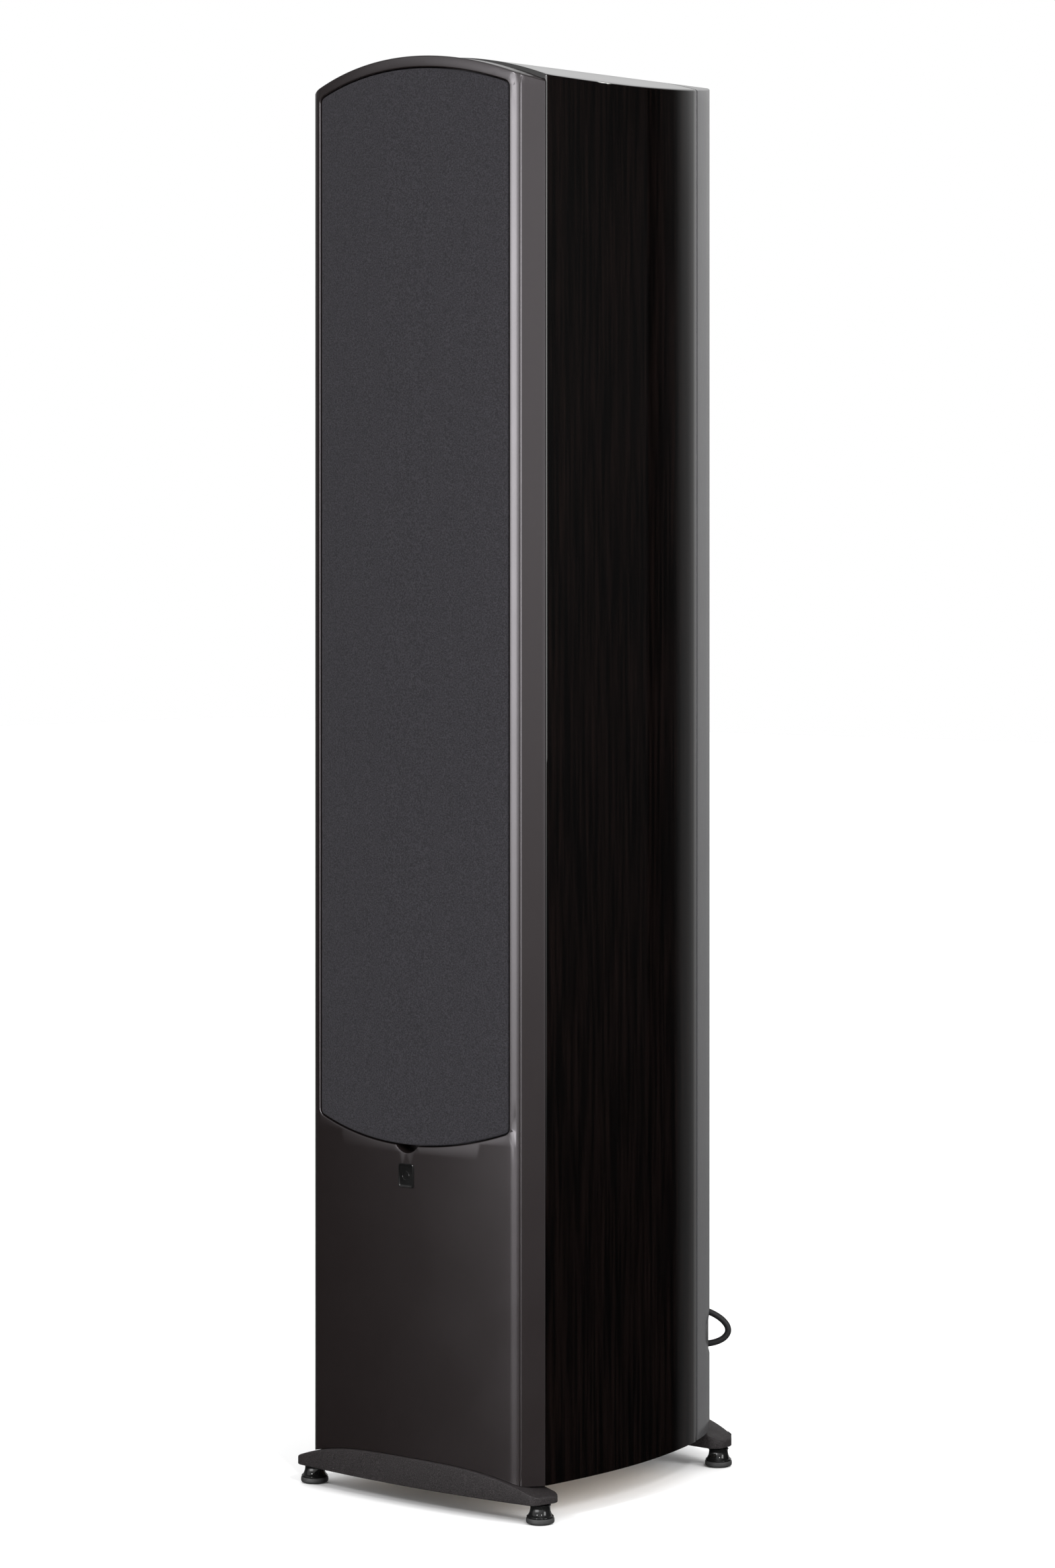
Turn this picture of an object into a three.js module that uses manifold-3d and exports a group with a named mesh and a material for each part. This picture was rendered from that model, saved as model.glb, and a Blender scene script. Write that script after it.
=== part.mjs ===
// A three-way floorstanding loudspeaker: a bowed, arched cabinet on two outriggers with levelling feet,
// drivers behind a pull-off cloth grille, and a terminal cup with screw posts in a convex rear panel.
// Millimetres, +Z up, the front faces -Y. X = 0 is the middle and Z = 0 is the floor.
import * as THREE from "three";
import { mergeVertices } from "three/addons/utils/BufferGeometryUtils.js";
import Module from "manifold-3d";

const wasm = await Module();
wasm.setup();

// ---- Driving dimensions. Depths are measured from the plane of the front face's two side edges. ----
const GAP = 0.3; // between pieces that touch
const ARCH_RADIUS = 292; // of the baffle's arched top, the grille's arched ends and the recess
const TOP_RADIUS = 345; // of the cabinet's flatter arched top, across its width
const TOP_CROWN = 1100; // height of the top panel's crown, and of the whole speaker
const BAFFLE_CROWN = 1099.5;
const CABINET_BOTTOM = 27.3;
const FACE_HALF = 104.1; // half the width of the front face, between its two edges
const FACE_BOW = 8.65; // how far the middle of the face stands in front of its edges
const FACE_EDGE_ROUND = 3.2;
const FACET_HALF = 115.9; // half the width at the back of the baffle's slanted side facets
const BAFFLE_BACK = 17.4;
const SHELL_FRONT = 18.6; // where the lacquered side and top panels start
const SHELL_BACK = 222.4;
const WIDEST_HALF = 119.5; // half the cabinet's greatest width
const WIDEST_AT = 85;
const BOW_AHEAD = 0.00079; // the side's curve ahead of its widest place, and behind it
const BOW_BEHIND = 0.00117;
const WALL = 15;
const TOP_THICK = 16;
const REAR_START = 224.6;
const REAR_CENTRE = 140; // centre and half-axes of the rear panel's elliptical plan
const REAR_HALF_WIDTH = 109.5;
const REAR_HALF_DEPTH = 174.5;
const REAR_WALL = 12;
const OUTRIGGER_BOTTOM = 15.5;
const OUTRIGGER_CROWN = 37.6;
const OUTRIGGER_DROP = 15.6; // from its crown to the top of its ends
const FRONT_ARM = { half: 121.3, flare: 5, face: -1.8, bow: 8, back: 25, corner: 6.5 };
const REAR_ARM = { half: 93.2, flare: 2.4, face: 277, bow: 8, back: 252, corner: 10 };
const FRONT_FOOT = { x: 115, y: 12.6 };
const REAR_FOOT = { x: 86.2, y: 264.9 };
const FOOT_BASE_RADIUS = 10.7;
const FOOT_TOP_RADIUS = 8;
const PAD_HEIGHT = 4.7;
const STUD_RADIUS = 4;
const STUD_TOP = 21;
const GRILLE_HALF = 95.5;
const GRILLE_TOP = 1090;
const GRILLE_BOTTOM = 274.4;
const GRILLE_CORNER = 5;
const GRILLE_CLEARANCE = 0.8; // between the grille's rim and its recess
const RECESS_FLOOR = 5;
const NOTCH = { radius: 13.5, bottom: 268.3 };
const BADGE = { halfWidth: 7.6, halfHeight: 9.1, z: 251, pocket: -8.0, front: -9.5 };
const CUP = { z: 104, halfWidth: 83, halfHeight: 29, floor: 274, back: 244 };
const CUP_POCKET = { halfWidth: 62, halfHeight: 24, squareness: 4 };
const POST = { x: 24, rise: 14, stud: 3, collar: 6.8, collarTop: 280, studTop: 298 };
const WASHER = { radius: 6.6, from: 285.6, to: 287.2 };
const KNOB = { radius: 7, from: 287.5, to: 305 };
const PORT = { bore: 25, wall: 3, mouth: 38, inner: 200, heights: [400, 860] };
const BRACE_HEIGHTS = [551, 728];
const JUMPER = { diameter: 5, sides: 8, steps: 20 };
const ROUND = 20; // straight sides that stand for a full circle on drivers and ports
const SMALL_ROUND = 16; // and on feet, posts and knobs
const REAR_APEX = REAR_CENTRE + REAR_HALF_DEPTH;
const FRONT_APEX = FRONT_ARM.face - FRONT_ARM.bow;

// The sizes of a driver's frame, surround, cone, motor and phase plug: radii, and depths from the face plane.
const WOOFER = {
  flange: 82.5, hole: 72, surroundOut: 69, surroundIn: 58, roll: 4.6,
  coil: 16, coneDepth: 32, basket: 30, motor: 46, motorFrom: 58, motorTo: 88, plug: 12,
};
const MID = {
  flange: 62, hole: 53, surroundOut: 50, surroundIn: 42.5, roll: 3,
  coil: 12.5, coneDepth: 22, basket: 24, motor: 36, motorFrom: 44, motorTo: 66, plug: 9,
};
const DRIVERS = [
  { name: "mid_upper", z: 1003, size: MID },
  { name: "mid_lower", z: 797, size: MID },
  { name: "woofer_upper", z: 642, size: WOOFER },
  { name: "woofer_lower", z: 460, size: WOOFER },
];
const FLANGE_FACE = 4.2; // the front and back of every driver's flange, in its rebate in the baffle
const FLANGE_SEAT = 8.5;
const COIL_DEPTH = 5; // how far the voice coil reaches into its gap in the motor, and the gap's depth
const COIL_GAP_DEPTH = 12;
const TWEETER = { z: 900, plate: 37, hole: 28, dome: 12.8, motor: 25, motorFrom: 17.8, motorTo: 40 };

// ---- Materials ----
const material = (color, roughness, metalness = 0) =>
  new THREE.MeshStandardMaterial({ color, roughness, metalness });
const MATERIALS = {
  lacquer: material(0x0a0909, 0.08),
  satin: material(0x3c393c, 0.45),
  spine: material(0x55565a, 0.35),
  powderCoat: material(0x2b292b, 0.7),
  cloth: material(0x2c2a2e, 0.95),
  board: material(0x8a7355, 0.8),
  gloss: material(0x070707, 0.1),
  rubber: material(0x161616, 0.8),
  cone: material(0x1c1d20, 0.5),
  metal: material(0xb9bbbf, 0.3, 1),
  gold: material(0xc9a24a, 0.3, 1),
  braid: material(0x141414, 0.75),
  circuit: material(0x1f4a33, 0.6),
  copper: material(0xa9643a, 0.4, 1),
};

// ---- Solids and booleans ----
function toSolid(geometry) {
  const bare = geometry.index ? geometry.toNonIndexed() : geometry.clone();
  bare.deleteAttribute("normal");
  bare.deleteAttribute("uv");
  const merged = mergeVertices(bare, 1e-3);
  return new wasm.Manifold(
    new wasm.Mesh({
      numProp: 3,
      vertProperties: merged.attributes.position.array,
      triVerts: new Uint32Array(merged.index.array),
    }),
  );
}

function toGeometry(solid) {
  const mesh = solid.getMesh();
  const positions = new Float32Array(mesh.numVert * 3);
  for (let i = 0; i < mesh.numVert; i++) {
    positions.set(mesh.vertProperties.subarray(i * mesh.numProp, i * mesh.numProp + 3), i * 3);
  }
  const geometry = new THREE.BufferGeometry();
  geometry.setAttribute("position", new THREE.BufferAttribute(positions, 3));
  geometry.setIndex(new THREE.BufferAttribute(mesh.triVerts, 1));
  geometry.computeVertexNormals();
  return geometry;
}

const cut = (solid, tools) => tools.reduce((left, tool) => left.subtract(tool), solid);
const join = (solid, others) => others.reduce((all, other) => all.add(other), solid);

// A closed outline drawn in plan (X, depth), pulled up from one height to another.
function standing(outline, from, to) {
  const geometry = new THREE.ExtrudeGeometry(new THREE.Shape(outline), {
    depth: to - from,
    bevelEnabled: false,
  });
  return toSolid(geometry.translate(0, 0, from));
}

// A closed outline drawn on the front (X, Z), pushed back from one depth to another.
function facing(outline, from, to) {
  const geometry = new THREE.ExtrudeGeometry(new THREE.Shape(outline), {
    depth: to - from,
    bevelEnabled: false,
  });
  return toSolid(geometry.rotateX(Math.PI / 2).translate(0, to, 0));
}

// A profile of [radius, depth] pairs, turned about an axis that runs front to back through (x, z).
function turned(profile, x, z, sides = ROUND) {
  return toSolid(latheOf(profile, sides).translate(x, 0, z));
}

// A profile of [radius, height] pairs, turned about an upright axis through (x, depth).
function turnedUpright(profile, x, y, sides = SMALL_ROUND) {
  return toSolid(latheOf(profile, sides).rotateX(Math.PI / 2).translate(x, y, 0));
}

// The profile is closed on itself and put in the order that makes the faces look outwards.
function latheOf(profile, sides) {
  const points = profile.map(([radius, along]) => new THREE.Vector2(radius, along));
  if (THREE.ShapeUtils.area(points) < 0) points.reverse();
  points.push(points[0].clone());
  return new THREE.LatheGeometry(points, sides);
}

// ---- Outlines ----
const point = (x, y) => new THREE.Vector2(x, y);

// Points of y = height(x) from one x to the other.
function along(from, to, steps, height) {
  return Array.from({ length: steps + 1 }, (_, i) => {
    const x = from + ((to - from) * i) / steps;
    return point(x, height(x));
  });
}

function mirrored(half) {
  return half.concat(half.toReversed().map((p) => point(-p.x, p.y)));
}

function ellipse(halfWidth, halfHeight, x, y, steps = 24) {
  return Array.from({ length: steps }, (_, i) => {
    const angle = (2 * Math.PI * i) / steps;
    return point(x + halfWidth * Math.cos(angle), y + halfHeight * Math.sin(angle));
  });
}

// An ellipse drawn out towards its corners: squareness 2 is a plain ellipse.
function squaredEllipse(halfWidth, halfHeight, z, squareness, steps = 28) {
  return ellipse(1, 1, 0, 0, steps).map(({ x, y }) => {
    const pull = (Math.abs(x) ** squareness + Math.abs(y) ** squareness) ** (-1 / squareness);
    return point(halfWidth * pull * x, z + halfHeight * pull * y);
  });
}

// The outline with an arc in place of each corner that turns by more than 30 degrees and isn't kept sharp.
function roundCorners(outline, radius, steps = 4, sharp = []) {
  return outline.flatMap((corner, i) => {
    if (sharp.includes(corner)) return [corner];
    const before = outline[(i + outline.length - 1) % outline.length].clone().sub(corner).normalize();
    const after = outline[(i + 1) % outline.length].clone().sub(corner).normalize();
    const inside = Math.acos(THREE.MathUtils.clamp(before.dot(after), -1, 1));
    if (Math.PI - inside < Math.PI / 6) return [corner];
    const reach = radius / Math.tan(inside / 2);
    const start = corner.clone().addScaledVector(before, reach);
    const end = corner.clone().addScaledVector(after, reach);
    const middle = before.clone().add(after).normalize();
    const centre = corner.clone().addScaledVector(middle, radius / Math.sin(inside / 2));
    return Array.from({ length: steps + 1 }, (_, k) => {
      const onChord = start.clone().lerp(end, k / steps).sub(centre).normalize();
      return centre.clone().addScaledVector(onChord, radius);
    });
  });
}

// The drop of an arch or bow below its crown at a distance x from its middle.
const sag = (x, radius) => radius - Math.sqrt(radius * radius - x * x);
const bowRadius = (half, bow) => (half * half + bow * bow) / (2 * bow);
const FACE_RADIUS = bowRadius(FACE_HALF, FACE_BOW);
const faceDepth = (x) => sag(x, FACE_RADIUS) - FACE_BOW;

const sideHalf = (y) =>
  WIDEST_HALF - (y < WIDEST_AT ? BOW_AHEAD : BOW_BEHIND) * (y - WIDEST_AT) ** 2;

// Everything under an arch with its crown at the given height.
function underArch(crown, radius = TOP_RADIUS) {
  const half = 140;
  const outline = along(half, -half, 22, (x) => crown - sag(x, radius));
  outline.push(point(-half, 0), point(half, 0));
  return facing(outline, FRONT_APEX - 20, REAR_APEX + 20);
}

// The plan of the lacquered shell, a distance inside its side surface.
function shellPlan(inset, from = SHELL_FRONT, to = SHELL_BACK) {
  return mirrored(along(from, to, 12, (y) => sideHalf(y) - inset).map((p) => point(p.y, p.x)));
}

// The plan of the convex rear panel, from its front edge round the back, a distance inside its surface.
function rearPlan(inset, from = REAR_START) {
  const a = REAR_HALF_WIDTH - inset;
  const b = REAR_HALF_DEPTH - inset;
  const start = Math.asin((from - REAR_CENTRE) / b);
  const steps = 12;
  const half = Array.from({ length: steps + 1 }, (_, i) => {
    const angle = start + ((Math.PI / 2 - start) * i) / steps;
    return point(a * Math.cos(angle), REAR_CENTRE + b * Math.sin(angle));
  });
  return mirrored(half.slice(0, -1).concat(point(0.5, REAR_CENTRE + b)));
}

function bafflePlan() {
  const face = along(-FACE_HALF, FACE_HALF, 16, faceDepth);
  const back = [point(FACET_HALF, BAFFLE_BACK), point(-FACET_HALF, BAFFLE_BACK)];
  return roundCorners(face.concat(back), FACE_EDGE_ROUND, 3, back);
}

function grilleOutline(grow) {
  const half = GRILLE_HALF + grow;
  const lower = along(-half, half, 14, (x) => GRILLE_BOTTOM - grow + sag(x, ARCH_RADIUS));
  const upper = along(half, -half, 14, (x) => GRILLE_TOP + grow - sag(x, ARCH_RADIUS));
  return roundCorners(lower.concat(upper), GRILLE_CORNER + grow);
}

// ---- The outriggers: flat below, arched above, bowed on their outer face ----
function outrigger(arm, grow = 0) {
  const outwards = Math.sign(arm.face - arm.back);
  const half = arm.half + grow;
  const face = along(-half, half, 16, (x) => {
    return arm.face + outwards * (arm.bow + grow - arm.bow * (x / half) ** 2);
  });
  const back = arm.back - outwards * grow;
  const wide = half + arm.flare;
  const outline = roundCorners(face.concat([point(wide, back), point(-wide, back)]), arm.corner, 4);
  const plan = outwards < 0 ? outline : outline.toReversed();
  const top = along(wide, -wide, 20, (x) => {
    return OUTRIGGER_CROWN + grow - OUTRIGGER_DROP * Math.min(1.1, Math.abs(x) / arm.half) ** 3;
  });
  const bottom = OUTRIGGER_BOTTOM - grow;
  const profile = top.concat([point(-wide, bottom), point(wide, bottom)]);
  const solid = standing(plan, bottom, OUTRIGGER_CROWN + 5);
  return solid.intersect(facing(profile, FRONT_APEX - 20, REAR_APEX + 20));
}

function studHole(foot, side) {
  return turnedUpright(
    [[0, OUTRIGGER_BOTTOM - 1], [STUD_RADIUS + GAP, OUTRIGGER_BOTTOM - 1],
      [STUD_RADIUS + GAP, STUD_TOP + 0.5], [0, STUD_TOP + 0.5]],
    side * foot.x, foot.y,
  );
}

const withStudHoles = (arm, foot) => cut(outrigger(arm), [studHole(foot, -1), studHole(foot, 1)]);

// ---- The cabinet ----
const frontArmSpace = outrigger(FRONT_ARM, GAP);
const rearArmSpace = outrigger(REAR_ARM, GAP);

function sidePanel(side) {
  const outer = along(SHELL_FRONT, SHELL_BACK, 12, sideHalf).map((p) => point(p.y, p.x));
  const inner = outer.toReversed().map((p) => point(p.x - WALL, p.y));
  const outline = outer.concat(inner).map((p) => point(side * p.x, p.y));
  const board = standing(outline, CABINET_BOTTOM, TOP_CROWN);
  return board.intersect(underArch(TOP_CROWN - TOP_THICK - GAP)).subtract(frontArmSpace);
}

function topPanel() {
  const board = standing(shellPlan(0), TOP_CROWN - 60, TOP_CROWN + 1);
  return board.intersect(underArch(TOP_CROWN)).subtract(underArch(TOP_CROWN - TOP_THICK));
}

function bottomPanel() {
  const board = standing(shellPlan(WALL + GAP), CABINET_BOTTOM, CABINET_BOTTOM + WALL);
  return board.subtract(frontArmSpace);
}

// A board across the cabinet behind the drivers' motors, with a window in it.
function brace(height) {
  const board = standing(shellPlan(WALL + GAP, 96, SHELL_BACK - 8), height - 6, height + 6);
  const window = [point(-52, 118), point(52, 118), point(52, 188), point(-52, 188)];
  return board.subtract(standing(roundCorners(window, 20, 5), height - 10, height + 10));
}

function rearPanel() {
  const skin = standing(rearPlan(0), CABINET_BOTTOM, TOP_CROWN + 1).intersect(underArch(TOP_CROWN));
  const hollow = standing(rearPlan(REAR_WALL, REAR_START - 30), CABINET_BOTTOM + WALL, TOP_CROWN + 1)
    .intersect(underArch(TOP_CROWN - TOP_THICK));
  const cupHole = facing(ellipse(CUP.halfWidth, CUP.halfHeight, 0, CUP.z), REAR_START - 30, REAR_APEX + 5);
  const portHoles = PORT.heights.map((z) =>
    facing(ellipse(PORT.mouth + GAP, PORT.mouth + GAP, 0, z, ROUND), REAR_START - 30, REAR_APEX + 5));
  return cut(skin, [hollow, cupHole, rearArmSpace, ...portHoles]);
}

function driverHole(size, z) {
  return turned(
    [[0, RECESS_FLOOR - 1], [size.flange + GAP, RECESS_FLOOR - 1], [size.flange + GAP, FLANGE_SEAT + GAP],
      [size.hole, FLANGE_SEAT + GAP], [size.hole, BAFFLE_BACK + 1], [0, BAFFLE_BACK + 1]],
    0, z,
  );
}

function frontBaffle() {
  const board = standing(bafflePlan(), CABINET_BOTTOM, BAFFLE_CROWN + 1)
    .intersect(underArch(BAFFLE_CROWN, ARCH_RADIUS));
  const recess = facing(grilleOutline(GRILLE_CLEARANCE), FRONT_APEX - 5, RECESS_FLOOR);
  const notch = facing(
    ellipse(NOTCH.radius, NOTCH.radius, 0, NOTCH.bottom + NOTCH.radius, 28), FRONT_APEX - 5, RECESS_FLOOR);
  const pocket = facing(badgeOutline(GAP), FRONT_APEX - 5, BADGE.pocket);
  const holes = DRIVERS.map((driver) => driverHole(driver.size, driver.z));
  const tweeterHole = driverHole({ flange: TWEETER.plate, hole: TWEETER.hole }, TWEETER.z);
  return cut(board, [recess, notch, pocket, tweeterHole, frontArmSpace, ...holes]);
}

// A plain plaque with a raised bevel.
function badgeOutline(grow) {
  const w = BADGE.halfWidth + grow;
  const h = BADGE.halfHeight + grow;
  const corners = [point(-w, BADGE.z - h), point(w, BADGE.z - h), point(w, BADGE.z + h), point(-w, BADGE.z + h)];
  return roundCorners(corners, 1.6 + grow, 3);
}

// ---- The grille ----
// A band that follows the bowed face, from one depth in front of or behind it to another.
function bowedBand(from, to) {
  const half = FACE_HALF;
  const front = along(-half, half, 16, (x) => faceDepth(x) + from);
  const back = along(half, -half, 16, (x) => faceDepth(x) + to);
  return standing(front.concat(back), 200, TOP_CROWN);
}

function grilleCloth() {
  return bowedBand(0.2, 0.9).intersect(facing(grilleOutline(0), FRONT_APEX - 5, RECESS_FLOOR));
}

function grilleFrame() {
  const front = along(-FACE_HALF, FACE_HALF, 16, (x) => faceDepth(x) + 0.9 + GAP);
  const back = RECESS_FLOOR - GAP;
  const block = standing(front.concat([point(FACE_HALF, back), point(-FACE_HALF, back)]), 200, TOP_CROWN);
  const openings = DRIVERS.map(({ size, z }) =>
    facing(ellipse(size.flange + 3, size.flange + 3, 0, z, ROUND), FRONT_APEX - 5, BAFFLE_BACK));
  const plate = TWEETER.plate + 3;
  openings.push(facing(ellipse(plate, plate, 0, TWEETER.z, ROUND), FRONT_APEX - 5, BAFFLE_BACK));
  return cut(block.intersect(facing(grilleOutline(-0.4), FRONT_APEX - 5, BAFFLE_BACK)), openings);
}

// ---- The drivers ----
function driverPieces({ name, z, size }) {
  const face = FLANGE_FACE;
  const seat = FLANGE_SEAT;
  const basketBack = size.basket + 14;
  const coneBack = face + 1.4 + size.coneDepth;
  const frame = [
    [size.surroundOut + 0.6, face], [size.flange, face], [size.flange, seat], [size.hole - 1, seat],
    [size.hole - 4, 20], [size.motor - 6, basketBack], [size.motor - 6, size.motorFrom - GAP],
    [size.coil + 6, size.motorFrom - GAP], [size.coil + 6, basketBack - 2.5], [size.motor - 9, basketBack - 3],
    [size.hole - 8, 18], [size.surroundOut + 0.6, 9],
  ];
  const centre = (size.surroundIn + size.surroundOut) / 2;
  const reach = (size.surroundOut - size.surroundIn) / 2;
  const arc = (radius, from, to, steps) => Array.from({ length: steps + 1 }, (_, i) => {
    const angle = from + ((to - from) * i) / steps;
    return [centre + radius * Math.cos(angle), face + 2 - (size.roll / reach) * radius * Math.sin(angle)];
  });
  const surround = [...arc(reach, 0, Math.PI, 4), ...arc(reach - 0.9, Math.PI, 0, 4)];
  const cone = [
    [size.surroundIn - GAP, face + 1.4], [size.surroundIn - GAP, face + 3], [size.coil + 1, coneBack + 2],
    [size.coil + 1, size.motorFrom + COIL_DEPTH], [size.coil - 0.4, size.motorFrom + COIL_DEPTH],
    [size.coil - 0.4, coneBack],
  ];
  const plugTip = coneBack - size.coneDepth * 0.55;
  const plug = [
    [0, plugTip], [size.plug * 0.55, plugTip + 2.5], [size.plug, plugTip + 11],
    [size.plug, size.motorFrom - GAP], [0, size.motorFrom - GAP],
  ];
  const gapEnd = size.motorFrom + COIL_GAP_DEPTH;
  const motor = [
    [0, size.motorFrom], [size.coil - 2.2, size.motorFrom], [size.coil - 2.2, gapEnd], [size.coil + 3, gapEnd],
    [size.coil + 3, size.motorFrom], [size.motor, size.motorFrom], [size.motor, size.motorTo], [0, size.motorTo],
  ];
  return [
    [name + "_frame", turned(frame, 0, z), "metal"],
    [name + "_surround", turned(surround, 0, z), "rubber"],
    [name + "_cone", turned(cone, 0, z), "cone"],
    [name + "_phase_plug", turned(plug, 0, z), "metal"],
    [name + "_motor", turned(motor, 0, z), "powderCoat"],
  ];
}

function tweeterPieces() {
  const face = FLANGE_FACE;
  const plate = [
    [TWEETER.dome + 4, face + 2.6], [TWEETER.plate - 8, face], [TWEETER.plate, face],
    [TWEETER.plate, FLANGE_SEAT], [TWEETER.hole - 1, FLANGE_SEAT], [TWEETER.hole - 1, 12], [TWEETER.dome + 4, 12],
  ];
  const domeTop = 2.4;
  const domeBase = 10.6;
  const outer = [0, 20, 40, 60, 80].map((degrees) => {
    const angle = THREE.MathUtils.degToRad(degrees);
    return [TWEETER.dome * Math.sin(angle), domeBase - (domeBase - domeTop) * Math.cos(angle)];
  });
  const dome = [...outer, [TWEETER.dome + 3, domeBase - 1], [TWEETER.dome + 3, domeBase],
    [TWEETER.dome, domeBase + 0.8], [TWEETER.dome, domeBase + 3], [TWEETER.dome - 1, domeBase + 3],
    [TWEETER.dome - 1, domeBase], [TWEETER.dome * 0.6, domeTop + 3.4], [0, domeTop + 1.2]];
  const motor = [
    [0, TWEETER.motorFrom], [TWEETER.motor, TWEETER.motorFrom], [TWEETER.motor, TWEETER.motorTo],
    [0, TWEETER.motorTo],
  ];
  return [
    ["tweeter_faceplate", turned(plate, 0, TWEETER.z), "satin"],
    ["tweeter_dome", turned(dome, 0, TWEETER.z), "metal"],
    ["tweeter_motor", turned(motor, 0, TWEETER.z), "powderCoat"],
  ];
}

// ---- The feet ----
function footPieces(name, x, y) {
  const pad = [
    [0, 0], [FOOT_BASE_RADIUS - 0.8, 0], [FOOT_BASE_RADIUS, 0.8], [FOOT_BASE_RADIUS, PAD_HEIGHT],
    [0, PAD_HEIGHT],
  ];
  const top = OUTRIGGER_BOTTOM - GAP;
  const base = PAD_HEIGHT + GAP;
  const bell = [
    [0, base], [FOOT_BASE_RADIUS - 0.5, base], [FOOT_BASE_RADIUS - 0.9, base + 1.2],
    [FOOT_TOP_RADIUS + 0.9, base + 3.6], [FOOT_TOP_RADIUS + 0.1, base + 6.2], [FOOT_TOP_RADIUS, base + 8.6],
    [FOOT_TOP_RADIUS - 0.8, base + 9.3], [STUD_RADIUS, base + 9.3], [STUD_RADIUS, STUD_TOP], [0, STUD_TOP],
  ];
  if (base + 9.3 >= top) throw new Error("the foot's bell reaches into its outrigger");
  return [
    ["foot_pad_" + name, turnedUpright(pad, x, y), "rubber"],
    ["foot_bell_" + name, turnedUpright(bell, x, y), "gloss"],
  ];
}

// ---- The rear: terminal cup, posts, jumper cables, ports ----
// The cup's rim follows the rear panel; a deep pocket inside it holds four threaded studs on collars.
function terminalCup() {
  const rim = ellipse(CUP.halfWidth - GAP, CUP.halfHeight - GAP, 0, CUP.z);
  const block = facing(rim, CUP.back, REAR_APEX).intersect(standing(rearPlan(1, CUP.back - 1), 0, TOP_CROWN));
  const { halfWidth, halfHeight, squareness } = CUP_POCKET;
  const mouth = squaredEllipse(halfWidth, halfHeight, CUP.z, squareness);
  const pocket = facing(mouth, CUP.floor, REAR_APEX + 5);
  const stud = [
    [0, CUP.floor - 1], [POST.collar, CUP.floor - 1], [POST.collar, POST.collarTop],
    [POST.stud, POST.collarTop], [POST.stud, POST.studTop], [0, POST.studTop],
  ];
  return join(block.subtract(pocket), posts().map(({ x, z }) => turned(stud, x, z, SMALL_ROUND)));
}

function posts() {
  return [
    { name: "upper_left", x: -POST.x, z: CUP.z + POST.rise },
    { name: "upper_right", x: POST.x, z: CUP.z + POST.rise },
    { name: "lower_left", x: -POST.x, z: CUP.z - POST.rise },
    { name: "lower_right", x: POST.x, z: CUP.z - POST.rise },
  ];
}

function postPieces({ name, x, z }) {
  const bore = POST.stud + GAP;
  const washer = [[bore, WASHER.from], [WASHER.radius, WASHER.from], [WASHER.radius, WASHER.to], [bore, WASHER.to]];
  const knob = [
    [bore, KNOB.from], [KNOB.radius - 1, KNOB.from], [KNOB.radius, KNOB.from + 1], [KNOB.radius, KNOB.to - 1.5],
    [KNOB.radius - 1.5, KNOB.to], [2.1, KNOB.to], [2.1, POST.studTop + 3], [bore, POST.studTop + 1],
  ];
  return [
    ["post_washer_" + name, turned(washer, x, z, SMALL_ROUND), "gold"],
    ["post_knob_" + name, turned(knob, x, z, SMALL_ROUND), "gloss"],
  ];
}

// The jumper cable leaves the upper post sideways, bulges out past the rim of the cup and comes back to
// the lower post. Its points are the right-hand cable's; the left-hand one is its mirror image.
const JUMPER_ROUTE = [
  [27.6, 282.8, 118], [33, 283.2, 118.2], [39, 285, 118.1], [46, 288.6, 117.4], [52.5, 292.8, 115.6],
  [58.5, 297, 112.4], [63.2, 300.6, 108], [65.9, 302.8, 103], [66, 303, 98.6], [63.8, 301, 94.4],
  [59.4, 297.4, 91.3], [53.5, 293.2, 89.6], [46.5, 288.8, 89], [39, 285, 89.2], [33, 283.2, 89.8],
  [27.6, 282.8, 90],
];

function jumperCable(side) {
  const route = new THREE.CatmullRomCurve3(
    JUMPER_ROUTE.map(([x, y, z]) => new THREE.Vector3(side * x, y, z)), false, "centripetal");
  const section = new THREE.Shape(ellipse(JUMPER.diameter / 2, JUMPER.diameter / 2, 0, 0, JUMPER.sides));
  return toSolid(new THREE.ExtrudeGeometry(section, { steps: JUMPER.steps, extrudePath: route }));
}

function portTube(z) {
  const outer = PORT.bore + PORT.wall;
  const tube = [
    [PORT.bore, PORT.inner], [outer, PORT.inner], [outer, 290], [PORT.mouth, 291], [PORT.mouth, REAR_APEX],
    [PORT.mouth - 2, REAR_APEX], [PORT.bore + 4, 302], [PORT.bore + 1, 293], [PORT.bore, 282],
  ];
  return turned(tube, 0, z).intersect(standing(rearPlan(0.8, REAR_START - 30), 0, TOP_CROWN));
}

// ---- The crossover, on the bottom panel ----
function crossoverPieces() {
  const floor = CABINET_BOTTOM + WALL + GAP;
  const board = [point(-70, 60), point(70, 60), point(70, 190), point(-70, 190)];
  const top = floor + 2;
  const coil = [[9, top + GAP], [26, top + GAP], [26, top + 20], [9, top + 20]];
  const capacitor = [[0, 74], [12, 74], [12, 118], [0, 118]];
  return [
    ["crossover_board", standing(roundCorners(board, 5), floor, top), "circuit"],
    ["crossover_inductor", turnedUpright(coil, -32, 148), "copper"],
    ["crossover_capacitor", turned(capacitor, 34, top + GAP + 12), "powderCoat"],
  ];
}

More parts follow.
